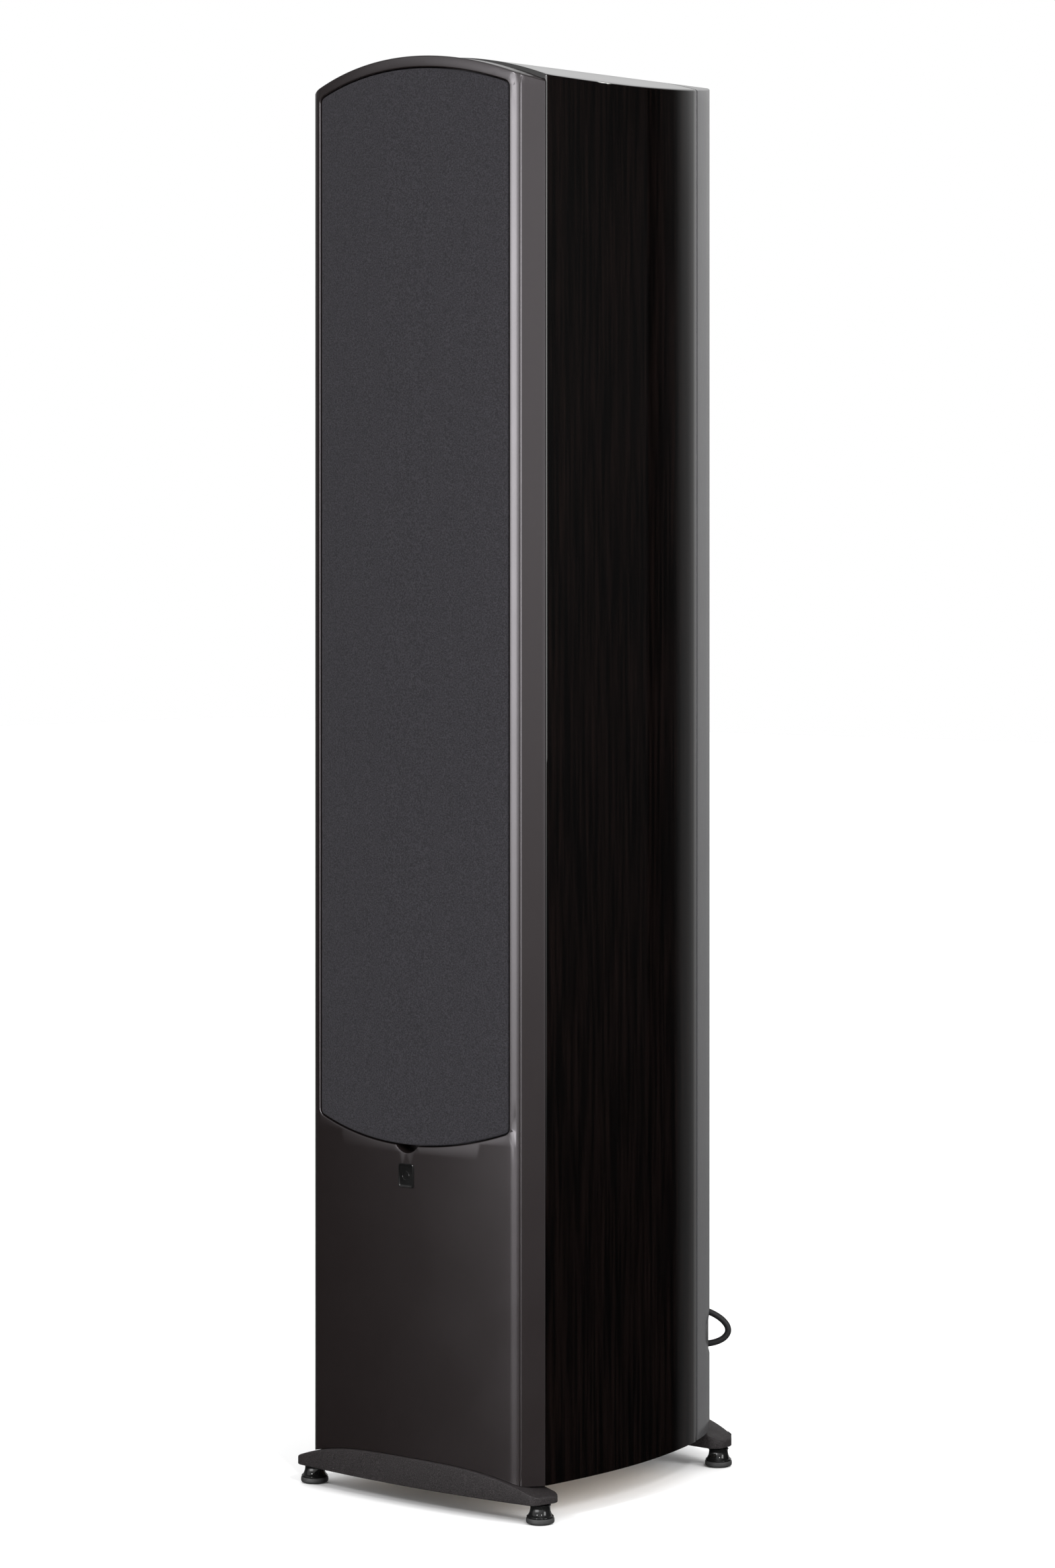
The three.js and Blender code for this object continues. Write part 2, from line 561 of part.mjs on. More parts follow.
// ---- The assembly ----
function cabinetPieces() {
  return [
    ["side_panel_left", sidePanel(-1), "lacquer"],
    ["side_panel_right", sidePanel(1), "lacquer"],
    ["top_panel", topPanel(), "lacquer"],
    ["bottom_panel", bottomPanel(), "board"],
    ["rear_panel", rearPanel(), "spine"],
    ["front_baffle", frontBaffle(), "satin"],
    ["brace_lower", brace(BRACE_HEIGHTS[0]), "board"],
    ["brace_upper", brace(BRACE_HEIGHTS[1]), "board"],
    ["badge", facing(badgeOutline(0), BADGE.front, BADGE.pocket - GAP), "gloss"],
    ["outrigger_front", withStudHoles(FRONT_ARM, FRONT_FOOT), "powderCoat"],
    ["outrigger_rear", withStudHoles(REAR_ARM, REAR_FOOT), "powderCoat"],
    ["terminal_cup", terminalCup(), "gloss"],
    ["port_tube_lower", portTube(PORT.heights[0]), "rubber"],
    ["port_tube_upper", portTube(PORT.heights[1]), "rubber"],
    ["grille_frame", grilleFrame(), "powderCoat"],
    ["grille_cloth", grilleCloth(), "cloth"],
    ["jumper_left", jumperCable(-1), "braid"],
    ["jumper_right", jumperCable(1), "braid"],
  ];
}

const pieces = [
  ...cabinetPieces(),
  ...DRIVERS.flatMap(driverPieces),
  ...tweeterPieces(),
  ...footPieces("front_left", -FRONT_FOOT.x, FRONT_FOOT.y),
  ...footPieces("front_right", FRONT_FOOT.x, FRONT_FOOT.y),
  ...footPieces("rear_left", -REAR_FOOT.x, REAR_FOOT.y),
  ...footPieces("rear_right", REAR_FOOT.x, REAR_FOOT.y),
  ...posts().flatMap(postPieces),
  ...crossoverPieces(),
];

// The part's origin is on the floor, under the middle of its depth.
const speaker = new THREE.Group();
speaker.position.y = -(FRONT_APEX + REAR_APEX) / 2;
for (const [name, solid, finish] of pieces) {
  const mesh = new THREE.Mesh(toGeometry(solid), MATERIALS[finish]);
  mesh.name = name;
  speaker.add(mesh);
}

export default speaker;
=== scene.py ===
"""The looks of a floorstanding speaker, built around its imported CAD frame.

Shapes are drawn in millimetres. Depths (Y) are measured from the plane of the front face's two side edges,
as in the CAD source, and at() turns them into the frame's metres.
"""

import math

import bmesh
import bpy
import numpy as np
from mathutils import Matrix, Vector
from mathutils.geometry import delaunay_2d_cdt


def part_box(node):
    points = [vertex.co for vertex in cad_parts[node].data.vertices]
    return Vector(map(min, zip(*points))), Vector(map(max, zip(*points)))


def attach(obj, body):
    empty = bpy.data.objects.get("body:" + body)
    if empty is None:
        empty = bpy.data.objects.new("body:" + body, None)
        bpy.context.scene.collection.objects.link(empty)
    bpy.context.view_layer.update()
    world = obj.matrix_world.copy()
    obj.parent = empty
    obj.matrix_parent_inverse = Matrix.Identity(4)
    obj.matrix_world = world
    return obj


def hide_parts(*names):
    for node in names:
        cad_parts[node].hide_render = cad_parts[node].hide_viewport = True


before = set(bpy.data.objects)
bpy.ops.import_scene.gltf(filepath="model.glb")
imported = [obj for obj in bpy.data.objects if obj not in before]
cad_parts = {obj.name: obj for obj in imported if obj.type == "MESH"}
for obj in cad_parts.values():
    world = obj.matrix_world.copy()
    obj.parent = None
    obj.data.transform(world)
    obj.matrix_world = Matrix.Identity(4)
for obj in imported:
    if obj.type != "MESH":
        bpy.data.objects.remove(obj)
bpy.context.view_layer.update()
MM = 0.001
WELD = 5e-6
QUARTER = math.pi / 2


def link(thing):
    bpy.context.scene.collection.objects.link(thing)
    return thing


# ---- Camera: it stands to the right of the front, level, with the view shifted down ----
CAMERA_PLACE = (2.2562, -2.6667, 0.7164)
CAMERA_YAW = math.radians(40.44)
CAMERA_LENS = 102.09
CAMERA_SHIFT_Y = -0.1418


def make_camera():
    data = bpy.data.cameras.new("camera")
    data.lens = CAMERA_LENS
    data.shift_y = CAMERA_SHIFT_Y
    data.clip_start = 0.05
    data.clip_end = 50
    camera = link(bpy.data.objects.new("camera", data))
    camera.location = CAMERA_PLACE
    camera.rotation_euler = (QUARTER, 0, CAMERA_YAW)
    bpy.context.scene.camera = camera


make_camera()

# ---- Where the frame's parts are, in drawing units ----
BAFFLE_BACK = 17.4
FACE_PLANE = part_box("front_baffle")[1].y - BAFFLE_BACK * MM


def at(points):
    """Drawing points in millimetres as frame points in metres."""
    points = np.asarray(points, float).reshape(-1, 3) * MM
    return points + np.array([0, FACE_PLANE, 0])


def drawn(node):
    """A node's lowest and highest corners in drawing units."""
    return [(np.array(corner) - np.array([0, FACE_PLANE, 0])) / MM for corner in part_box(node)]


def centre(node):
    low, high = drawn(node)
    return (low + high) / 2


ARCH_RADIUS = 292
TOP_RADIUS = 345
TOP_CROWN = drawn("top_panel")[1][2]
BAFFLE_CROWN = drawn("front_baffle")[1][2]
CABINET_BOTTOM = drawn("side_panel_right")[0][2]
SHELL_FRONT = drawn("side_panel_right")[0][1]
SHELL_BACK = drawn("side_panel_right")[1][1]
WIDEST_HALF = drawn("side_panel_right")[1][0]
WIDEST_AT = 85
BOW_AHEAD = 0.00079
BOW_BEHIND = 0.00117
WALL = 15
PLAY = 0.3
TOP_THICK = 16
FACE_HALF = 104.1
FACE_BOW = 8.65
FACE_RADIUS = (FACE_HALF**2 + FACE_BOW**2) / (2 * FACE_BOW)
FACET_HALF = drawn("front_baffle")[1][0]
SHOULDER_FROM = 97.0
SHOULDER_RADIUS = 14.9
SHOULDER_END = math.radians(38)
GROOVE_DEPTH = 0.6
LIP_RADIUS = 1.7
RECESS_FLOOR = 5
RECESS_EDGE = 0.9
GRILLE_HALF = drawn("grille_cloth")[1][0]
GRILLE_TOP = drawn("grille_cloth")[1][2]
GRILLE_BOTTOM = drawn("grille_cloth")[0][2]
GRILLE_CLEARANCE = 0.8
GRILLE_CORNER = 5
NOTCH_RADIUS = 13.5
NOTCH_BOTTOM = 268.3
REAR_START = drawn("rear_panel")[0][1]
REAR_APEX = drawn("rear_panel")[1][1]
REAR_CENTRE = 140
REAR_HALF_WIDTH = 109.5
REAR_HALF_DEPTH = REAR_APEX - REAR_CENTRE


def sag(x, radius):
    """The drop of an arch below its crown at a distance x from its middle."""
    return radius - np.sqrt(radius**2 - np.asarray(x, float) ** 2)


def face_depth(x):
    return sag(x, FACE_RADIUS) - FACE_BOW


def top_height(x, depth=0):
    """The height of the cabinet's arched top, or of a line at a depth below it."""
    return TOP_CROWN - depth - sag(x, TOP_RADIUS)


def side_half(y):
    """The shell's half width at a depth; beyond the shell's ends it stays as it is there."""
    y = min(max(y, SHELL_FRONT), SHELL_BACK)
    return WIDEST_HALF - (BOW_AHEAD if y < WIDEST_AT else BOW_BEHIND) * (y - WIDEST_AT) ** 2


def rear_depth(x, inset=0):
    """The rear panel's depth, or that of a line inside its curve."""
    a, b = REAR_HALF_WIDTH - inset, REAR_HALF_DEPTH - inset
    return REAR_CENTRE + b * np.sqrt(1 - (np.asarray(x, float) / a) ** 2)


# ---- Meshes ----
class Mesh:
    """Points and faces of one piece, gathered patch by patch; patches that share a border are welded."""

    def __init__(self):
        self.points = []
        self.faces = []

    def patch(self, points, faces):
        start = len(self.points)
        self.points.extend(np.asarray(points, float).reshape(-1, 3).tolist())
        self.faces.extend([start + i for i in face] for face in faces)

    def grid(self, rows, loop=False):
        """Quads between rows of as many points each; loop joins each row's last point to its first."""
        rows = np.asarray(rows, float)
        count, wide = rows.shape[:2]
        across = wide if loop else wide - 1
        faces = []
        for r in range(count - 1):
            for c in range(across):
                d = (c + 1) % wide
                faces.append([r * wide + c, r * wide + d, (r + 1) * wide + d, (r + 1) * wide + c])
        self.patch(rows.reshape(-1, 3), faces)

    def cap(self, loop):
        self.patch(loop, [list(range(len(loop)))])

    def piece(self, name, material, body="cabinet", replaces=(), slot=None, sharp=35):
        """Makes the object. Edges that turn by more than sharp degrees stay crisp."""
        data = bpy.data.meshes.new(name)
        data.from_pydata(at(self.points).tolist(), [], self.faces)
        work = bmesh.new()
        work.from_mesh(data)
        bmesh.ops.remove_doubles(work, verts=work.verts, dist=WELD)
        bmesh.ops.dissolve_degenerate(work, edges=work.edges, dist=WELD)
        bmesh.ops.recalc_face_normals(work, faces=work.faces)
        work.to_mesh(data)
        work.free()
        data.polygons.foreach_set("use_smooth", [True] * len(data.polygons))
        data.set_sharp_from_angle(angle=math.radians(sharp))
        piece = link(bpy.data.objects.new(name, data))
        data.materials.append(material)
        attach(piece, body)
        if replaces:
            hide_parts(*replaces)
        return piece


def inside(points, loop):
    """Which points lie inside a closed loop."""
    x, y = points[:, 0][:, None], points[:, 1][:, None]
    a, b = loop, np.roll(loop, -1, axis=0)
    crosses = (a[:, 1] > y) != (b[:, 1] > y)
    rise = np.where(b[:, 1] == a[:, 1], 1, b[:, 1] - a[:, 1])
    return (crosses & (x < a[:, 0] + (y - a[:, 1]) * (b[:, 0] - a[:, 0]) / rise)).sum(1) % 2 == 1


def within(points, loops):
    """Which points lie inside the first loop and outside the others."""
    keep = inside(points, loops[0])
    for hole in loops[1:]:
        keep &= ~inside(points, hole)
    return keep


def fill(outline, holes, columns, rows, clear=1.0):
    """Triangles inside an outline and outside its holes, with points where columns and rows cross."""
    loops = [np.asarray(loop, float) for loop in (outline, *holes)]
    border = np.concatenate(loops)
    crossings = np.array([(c, r) for c in columns for r in rows], float).reshape(-1, 2)
    if len(crossings):
        near = np.array([np.min(np.hypot(*(border - p).T)) for p in crossings])
        crossings = crossings[within(crossings, loops) & (near > clear)]
    edges, start = [], 0
    for loop in loops:
        count = len(loop)
        edges += [(start + i, start + (i + 1) % count) for i in range(count)]
        start += count
    points = [Vector(p) for p in np.concatenate([border, crossings])]
    found, _, triangles = delaunay_2d_cdt(points, edges, [], 0, 1e-5)[:3]
    found = np.array([tuple(p) for p in found])
    middles = np.array([found[t].mean(0) for t in triangles])
    return found, [t for t, kept in zip(triangles, within(middles, loops)) if kept]


def grow(loop, distance):
    """A closed loop moved outwards by a distance, or inwards where it is negative."""
    loop = np.asarray(loop, float)
    before, after = loop - np.roll(loop, 1, axis=0), np.roll(loop, -1, axis=0) - loop
    before /= np.maximum(np.hypot(*before.T), 1e-9)[:, None]
    after /= np.maximum(np.hypot(*after.T), 1e-9)[:, None]
    area = np.sum(loop[:, 0] * np.roll(loop[:, 1], -1) - np.roll(loop[:, 0], -1) * loop[:, 1])
    n1, n2 = np.stack([before[:, 1], -before[:, 0]], 1), np.stack([after[:, 1], -after[:, 0]], 1)
    both = n1 + n2
    both /= np.maximum(np.sum(both * n1, 1), 0.5)[:, None]
    return loop + both * distance * (1 if area > 0 else -1)


def angles_round(count):
    return np.linspace(0, 2 * math.pi, count, endpoint=False)


def circle(x, z, radius, count=72):
    angle = angles_round(count)
    return np.stack([x + radius * np.cos(angle), z + radius * np.sin(angle)], 1)


def squared_ellipse(half_width, half_height, z, squareness, count=120):
    angle = angles_round(count)
    c, s = np.cos(angle), np.sin(angle)
    pull = (np.abs(c) ** squareness + np.abs(s) ** squareness) ** (-1 / squareness)
    return np.stack([half_width * pull * c, z + half_height * pull * s], 1)


def arc_steps(start, end, count):
    return [start + (end - start) * k / count for k in range(count + 1)]


def rounding(radius, count):
    """The steps round a quarter-round edge, each as its distance from the one face and from the other."""
    return [(radius * (1 - math.sin(a)), radius * (1 - math.cos(a))) for a in arc_steps(0, QUARTER, count)]


def unit(vector):
    return vector / np.hypot(*vector)


LEAST_TURN = math.radians(30)


def corner_arc(before, corner, after, radius, steps):
    """The arc that rounds a corner, or the corner itself where the line hardly turns."""
    a, b = unit(before - corner), unit(after - corner)
    opening = math.acos(max(-1, min(1, float(a @ b))))
    if math.pi - opening < LEAST_TURN:
        return [corner]
    reach = radius / math.tan(opening / 2)
    hub = corner + unit(a + b) * radius / math.sin(opening / 2)
    chords = [corner + a * reach * (1 - k / steps) + b * reach * k / steps - hub for k in range(steps + 1)]
    return [hub + unit(chord) * radius for chord in chords]


def rounded(corners, radius, steps=6):
    """A closed outline with an arc in place of each corner."""
    corners = np.asarray(corners, float)
    after = np.roll(corners, -1, axis=0)
    out = []
    for i, corner in enumerate(corners):
        out += corner_arc(corners[i - 1], corner, after[i], radius, steps)
    return np.array(out)


def with_depth(loop, depth):
    """(x, z) points at one depth, or at a depth for each."""
    loop = np.asarray(loop, float)
    return np.stack([loop[:, 0], np.broadcast_to(depth, len(loop)), loop[:, 1]], 1)


def with_height(loop, height):
    """(x, y) points at one height, or at a height for each."""
    return np.column_stack([loop, np.broadcast_to(height, len(loop))])


def at_depth(points, depth):
    """The same points, all moved to one depth."""
    moved = np.array(points, float)
    moved[:, 1] = depth
    return moved


def flat(mesh, outline, holes, depth):
    """A flat upright area at one depth."""
    found, triangles = fill(outline, holes, [], [])
    mesh.patch(with_depth(found, depth), triangles)


# How finely an upright surface's normals are sampled, and how far round each place they are averaged; the
# heights at which the tall surfaces get rows of points.
TRACK_STEPS = 1200
NORMAL_REACH = 2.4
BAFFLE_ROWS = np.arange(40, 1100, 12)
REAR_ROWS = np.arange(34, 1100, 12)
CLOTH_ROWS = np.arange(270, 1100, 10)
CUP_ROWS = np.arange(74, 136, 4)


class Upright:
    """A surface standing on a line drawn in plan. Its points are (u, z), u being how far along the line."""

    def __init__(self, line, outside):
        """outside is 1 where the surface faces the line's right, and -1 where it faces its left."""
        self.line = np.asarray(line, float)
        steps = np.hypot(*np.diff(self.line, axis=0).T)
        self.u = np.concatenate([[0], np.cumsum(steps)])
        self.fine = np.linspace(0, self.u[-1], TRACK_STEPS)
        track = np.stack([np.interp(self.fine, self.u, self.line[:, k]) for k in (0, 1)], 1)
        turn = np.gradient(track, axis=0)
        normal = np.stack([turn[:, 1], -turn[:, 0]], 1) * outside
        window = max(3, int(TRACK_STEPS * NORMAL_REACH / self.u[-1]))
        padded = np.pad(normal, ((window, window), (0, 0)), mode="edge")
        kernel = np.ones(2 * window + 1) / (2 * window + 1)
        normal = np.stack([np.convolve(padded[:, k], kernel, mode="valid") for k in (0, 1)], 1)
        self.normal = normal / np.hypot(*normal.T)[:, None]

    def place(self, points, depth=0):
        """Frame drawing points of (u, z) points, moved in from the surface by a depth."""
        points = np.asarray(points, float)
        u, z = points[:, 0], points[:, 1]
        x = np.interp(u, self.u, self.line[:, 0]) - depth * np.interp(u, self.fine, self.normal[:, 0])
        y = np.interp(u, self.u, self.line[:, 1]) - depth * np.interp(u, self.fine, self.normal[:, 1])
        return np.stack([x, y, z], 1)

    def along(self, loop, limit):
        """(x, z) points as (u, z) points, for x within the limit either side."""
        loop = np.asarray(loop, float)
        use = np.abs(self.line[:, 0]) <= limit
        return np.stack([np.interp(loop[:, 0], self.line[use, 0], self.u[use]), loop[:, 1]], 1)

    def skin(self, mesh, outline, holes, columns, rows, clear, depth=0):
        """The surface itself, inside an outline and outside its holes."""
        found, triangles = fill(outline, holes, columns, rows, clear)
        mesh.patch(self.place(found, depth), triangles)

    def rim(self, mesh, loop, radius, steps=4, hole=True):
        """The rounded edge round an opening, or round the surface itself. Returns its far border."""
        side = 1 if hole else -1
        rows = [self.place(grow(loop, out * side), depth) for out, depth in rounding(radius, steps)]
        mesh.grid(rows, loop=True)
        return rows[-1]


def straight_to(mesh, border, depth):
    """A wall from a border straight back or forward to one depth. Returns the (x, z) loop there."""
    far = at_depth(border, depth)
    mesh.grid([border, far], loop=True)
    return far[:, [0, 2]]


# ---- Materials ----
def nodes_of(material):
    tree = material.node_tree
    return tree, tree.nodes["Principled BSDF"]


def finish_of(name, color, roughness, **sockets):
    material = bpy.data.materials.new(name)
    material.use_nodes = True
    shader = nodes_of(material)[1]
    shader.inputs["Base Color"].default_value = (*color, 1)
    shader.inputs["Roughness"].default_value = roughness
    for socket, value in sockets.items():
        shader.inputs[socket.replace("_", " ")].default_value = value
    return material


def add(tree, kind, inputs=None, **settings):
    node = tree.nodes.new(kind)
    for name, value in settings.items():
        setattr(node, name, value)
    for name, value in (inputs or {}).items():
        socket = node.inputs[name]
        if hasattr(value, "is_output"):
            tree.links.new(value, socket)
        else:
            socket.default_value = value
    return node


def reckon(tree, operation, *values):
    return add(tree, "ShaderNodeMath", dict(enumerate(values)), operation=operation).outputs[0]


def object_space(tree, stretch=(1, 1, 1)):
    """Object coordinates in metres, stretched."""
    place = add(tree, "ShaderNodeTexCoord").outputs["Object"]
    return add(tree, "ShaderNodeMapping", {"Vector": place, "Scale": stretch}).outputs["Vector"]


def noise(tree, scale, detail=2.0, stretch=(1, 1, 1), roughness=0.5):
    return add(tree, "ShaderNodeTexNoise", {
        "Vector": object_space(tree, stretch), "Scale": scale, "Detail": detail, "Roughness": roughness,
    }).outputs["Fac"]


def shift(tree, value, low, high, out_low, out_high):
    return add(tree, "ShaderNodeMapRange", {
        "Value": value, "From Min": low, "From Max": high, "To Min": out_low, "To Max": out_high,
    }).outputs["Result"]


def mixed(tree, factor, one, other):
    node = add(tree, "ShaderNodeMix", data_type="RGBA")
    tree.links.new(factor, node.inputs[0])
    for socket, value in ((node.inputs[6], one), (node.inputs[7], other)):
        if hasattr(value, "is_output"):
            tree.links.new(value, socket)
        else:
            socket.default_value = (*value, 1)
    return node.outputs[2]


def bump(material, height, distance):
    tree, shader = nodes_of(material)
    node = add(tree, "ShaderNodeBump", {"Height": height, "Distance": distance, "Strength": 1.0})
    tree.links.new(node.outputs["Normal"], shader.inputs["Normal"])


def vary_color(material, factor, one, other):
    tree, shader = nodes_of(material)
    tree.links.new(mixed(tree, factor, one, other), shader.inputs["Base Color"])


def vary_roughness(material, factor, low, high):
    tree, shader = nodes_of(material)
    tree.links.new(shift(tree, factor, 0.35, 0.65, low, high), shader.inputs["Roughness"])


def gloss_lacquer():
    """Deep lacquer over a dark stained veneer, whose upright grain barely shows."""
    material = finish_of("lacquer", (0.002, 0.0016, 0.0016), 0.45, Coat_Weight=1.0, Coat_Roughness=0.02,
                         Specular_IOR_Level=0.0)
    tree, _ = nodes_of(material)
    grain = noise(tree, 260, 5, (1, 1, 0.035), 0.6)
    stain = shift(tree, grain, 0.42, 0.66, 0, 1)
    vary_color(material, stain, (0.0008, 0.0007, 0.0007), (0.003, 0.0019, 0.0017))
    vary_roughness(material, noise(tree, 30), 0.38, 0.5)
    return material


def satin(name, color, lighter, roughness, grain=0.00002):
    """A fine satin lacquer or anodised surface."""
    material = finish_of(name, color, roughness, Specular_Tint=(0.99, 0.95, 1, 1))
    tree, _ = nodes_of(material)
    vary_color(material, shift(tree, noise(tree, 900, 3), 0.3, 0.7, 0, 1), color, lighter)
    vary_roughness(material, noise(tree, 22, 2), roughness - 0.01, roughness + 0.01)
    bump(material, noise(tree, 2600, 2), grain)
    return material


def powder_coat():
    """A charcoal powder coat with a fine orange-peel grain and pale specks."""
    material = finish_of("powder_coat", (0.03, 0.027, 0.028), 0.5, Specular_IOR_Level=0.14)
    tree, _ = nodes_of(material)
    grain = noise(tree, 1500, 2.5, roughness=0.6)
    vary_color(material, shift(tree, grain, 0.42, 0.72, 0, 1), (0.0085, 0.0072, 0.0074), (0.034, 0.03, 0.031))
    vary_roughness(material, noise(tree, 60), 0.42, 0.56)
    bump(material, grain, 0.00022)
    return material


STITCH = 0.00085


def speaker_cloth():
    """A stretched charcoal knit: fine rows of stitches with irregular pale fibres; the stitches' hollows are
    painted darker than their crowns, a painted shade.
    """
    material = finish_of("grille_cloth", (0.03, 0.028, 0.033), 0.92, Specular_IOR_Level=0.25)
    tree, _ = nodes_of(material)
    place = add(tree, "ShaderNodeSeparateXYZ", {"Vector": object_space(tree)}).outputs
    phases = [reckon(tree, "MULTIPLY", place[axis], 2 * math.pi / STITCH) for axis in "XZ"]
    knit = reckon(tree, "MULTIPLY", *[reckon(tree, "SINE", phase) for phase in phases])
    fibre = shift(tree, noise(tree, 900, 3, roughness=0.7), 0.4, 0.68, 0, 1)
    relief = reckon(tree, "MULTIPLY_ADD", knit, 0.35, fibre)
    shade = shift(tree, relief, -0.35, 1.2, 0, 1)
    # The colour follows the relief: the pale fibres are the cloth's own tone, the darker stitch hollows are
    # painted shade.
    vary_color(material, shade, (0.0042, 0.0039, 0.0048), (0.034, 0.032, 0.038))
    bump(material, relief, 0.00025)
    return material


def brushed(name, color, roughness):
    material = finish_of(name, color, roughness, Metallic=1.0)
    tree, _ = nodes_of(material)
    lines = noise(tree, 900, 3)
    dark = tuple(c * 0.82 for c in color)
    vary_color(material, shift(tree, lines, 0.3, 0.7, 0, 1), dark, color)
    vary_roughness(material, lines, roughness - 0.05, roughness + 0.07)
    bump(material, lines, 0.00001)
    return material


def moulded(name, color, roughness, scale=1400, depth=0.00004, **sockets):
    """Moulded plastic or rubber with a fine tooled grain."""
    material = finish_of(name, color, roughness, **sockets)
    tree, _ = nodes_of(material)
    grain = noise(tree, scale, 2)
    lighter = tuple(min(1, c * 1.5 + 0.004) for c in color)
    vary_color(material, shift(tree, noise(tree, 80, 3), 0.3, 0.7, 0, 1), color, lighter)
    vary_roughness(material, noise(tree, 40), max(0.02, roughness - 0.05), roughness + 0.05)
    bump(material, grain, depth)
    return material


def braid():
    """A tight black braided sleeve; the strands' crowns are painted a little paler, a painted highlight where
    light catches them.
    """
    material = finish_of("braided_sleeve", (0.01, 0.01, 0.01), 0.5, Specular_IOR_Level=0.15)
    tree, _ = nodes_of(material)
    strand = add(tree, "ShaderNodeAttribute", attribute_name="strand").outputs["Fac"]
    # Painted highlight: the colour lightens with each strand's relief height.
    vary_color(material, shift(tree, strand, 0.25, 1.0, 0, 1), (0.001, 0.001, 0.001), (0.016, 0.016, 0.017))
    bump(material, noise(tree, 5000, 2), 0.00003)
    return material


def fibreboard():
    material = finish_of("cabinet_board", (0.42, 0.33, 0.23), 0.85)
    tree, _ = nodes_of(material)
    fibres = noise(tree, 700, 4, (1, 1, 0.5), 0.65)
    vary_color(material, shift(tree, fibres, 0.3, 0.7, 0, 1), (0.32, 0.24, 0.16), (0.5, 0.4, 0.29))
    bump(material, fibres, 0.0001)
    return material


LACQUER = gloss_lacquer()
SATIN = satin("satin_baffle", (0.0078, 0.0058, 0.0056), (0.0094, 0.0072, 0.007), 0.21)
SPINE = satin("rear_spine", (0.028, 0.028, 0.029), (0.032, 0.032, 0.033), 0.2, 0.000008)
POWDER = powder_coat()
CLOTH = speaker_cloth()
GLOSS_BLACK = moulded("black_gloss", (0.003, 0.003, 0.003), 0.07, depth=0.000002, Specular_IOR_Level=0.22)
RUBBER = moulded("foot_rubber", (0.012, 0.012, 0.012), 0.62)
MOULDED_BLACK = moulded("moulded_black", (0.012, 0.012, 0.012), 0.42)
GRILLE_BOARD = moulded("grille_board", (0.018, 0.018, 0.018), 0.55)
FRAME_METAL = brushed("driver_frame", (0.24, 0.24, 0.25), 0.38)
PLATE_METAL = brushed("driver_plate", (0.05, 0.05, 0.052), 0.35)
SURROUND = moulded("surround_rubber", (0.011, 0.011, 0.011), 0.38, depth=0.00001)
CONE = moulded("cone_black", (0.016, 0.016, 0.018), 0.34, 2200, 0.00006)
PLUG_METAL = brushed("plug_aluminium", (0.68, 0.68, 0.7), 0.24)
DOME_METAL = brushed("dome_aluminium", (0.72, 0.72, 0.73), 0.2)
MOTOR = moulded("motor_black", (0.02, 0.02, 0.021), 0.45, 900, 0.0001)
KNOB = moulded("knob_gloss", (0.012, 0.012, 0.012), 0.2, depth=0.000004)
GOLD = brushed("gold_plate", (0.83, 0.6, 0.24), 0.2)
BRAID = braid()
BOARD = fibreboard()
CIRCUIT = moulded("circuit_board", (0.02, 0.1, 0.05), 0.4)
COPPER = brushed("copper_coil", (0.6, 0.27, 0.13), 0.3)
SLEEVE = moulded("capacitor_sleeve", (0.2, 0.03, 0.02), 0.25, depth=0.00001)
BAND_RED = moulded("band_red", (0.35, 0.012, 0.01), 0.3)
BAND_PALE = moulded("band_pale", (0.35, 0.35, 0.35), 0.3)


# ---- Turned pieces ----
def turned(mesh, profile, x, z, count=96, upright_at=None):
    """Turns (radius, along) points about a front-to-back axis, or about an upright one at (x, upright_at)."""
    if upright_at is None:
        rows = [with_depth(circle(x, z, radius, count), along) for radius, along in profile]
    else:
        rows = [with_height(circle(x, upright_at, radius, count), along) for radius, along in profile]
    mesh.grid(rows, loop=True)


def closed(profile):
    return profile + [profile[0]]


def soft_corners(profile, radius=0.4, steps=3):
    """A closed profile with its corners rounded, closed on itself; points on the axis stay."""
    points = [np.array(p, float) for p in profile]
    out = []
    for i, p in enumerate(points):
        a, b = points[i - 1] - p, points[(i + 1) % len(points)] - p
        la, lb = np.hypot(*a), np.hypot(*b)
        reach = min(radius, la * 0.45, lb * 0.45)
        straight = float(a @ b) / (la * lb) < -0.97
        if p[0] < 1e-6 or straight:
            out.append(p)
            continue
        start, end = p + a / la * reach, p + b / lb * reach
        for k in range(steps + 1):
            t = k / steps
            out.append((1 - t) ** 2 * start + 2 * t * (1 - t) * p + t**2 * end)
    out.append(out[0])
    return out


def ring_piece(name, profile, x, z, material, count=96, upright_at=None, **rest):
    """A piece made of one profile turned about one axis."""
    mesh = Mesh()
    turned(mesh, profile, x, z, count, upright_at)
    return mesh.piece(name, material, **rest)


# ---- The cabinet ----
SHELL_CORNER = 1.6
SHELL_FRONT_EDGE, SHELL_REAR_EDGE = 0.7, 0.6
GAP_SHADE_BAND_THICK = 5


def shell_section(y, inset, top_inset):
    """The shell's outline at one depth, from the right side's foot over the top to the left side's."""
    half = side_half(y) - inset
    turn = SHELL_CORNER if inset < WALL else 0.01
    reach = half - turn
    slope = math.asin(reach / TOP_RADIUS)
    hub = top_height(reach, top_inset) - turn / math.cos(slope)
    right = [(half, z) for z in np.linspace(CABINET_BOTTOM, hub, 14)]
    bend = arc_steps(0, QUARTER - slope, 6)[1:]
    right += [(reach + turn * math.cos(a), hub + turn * math.sin(a)) for a in bend]
    end = right[-1][0]
    over = [(x, top_height(x, top_inset)) for x in np.linspace(end, -end, 48)][1:-1]
    left = [(-x, z) for x, z in reversed(right)]
    return [(x, y, z) for x, z in right + over + left]


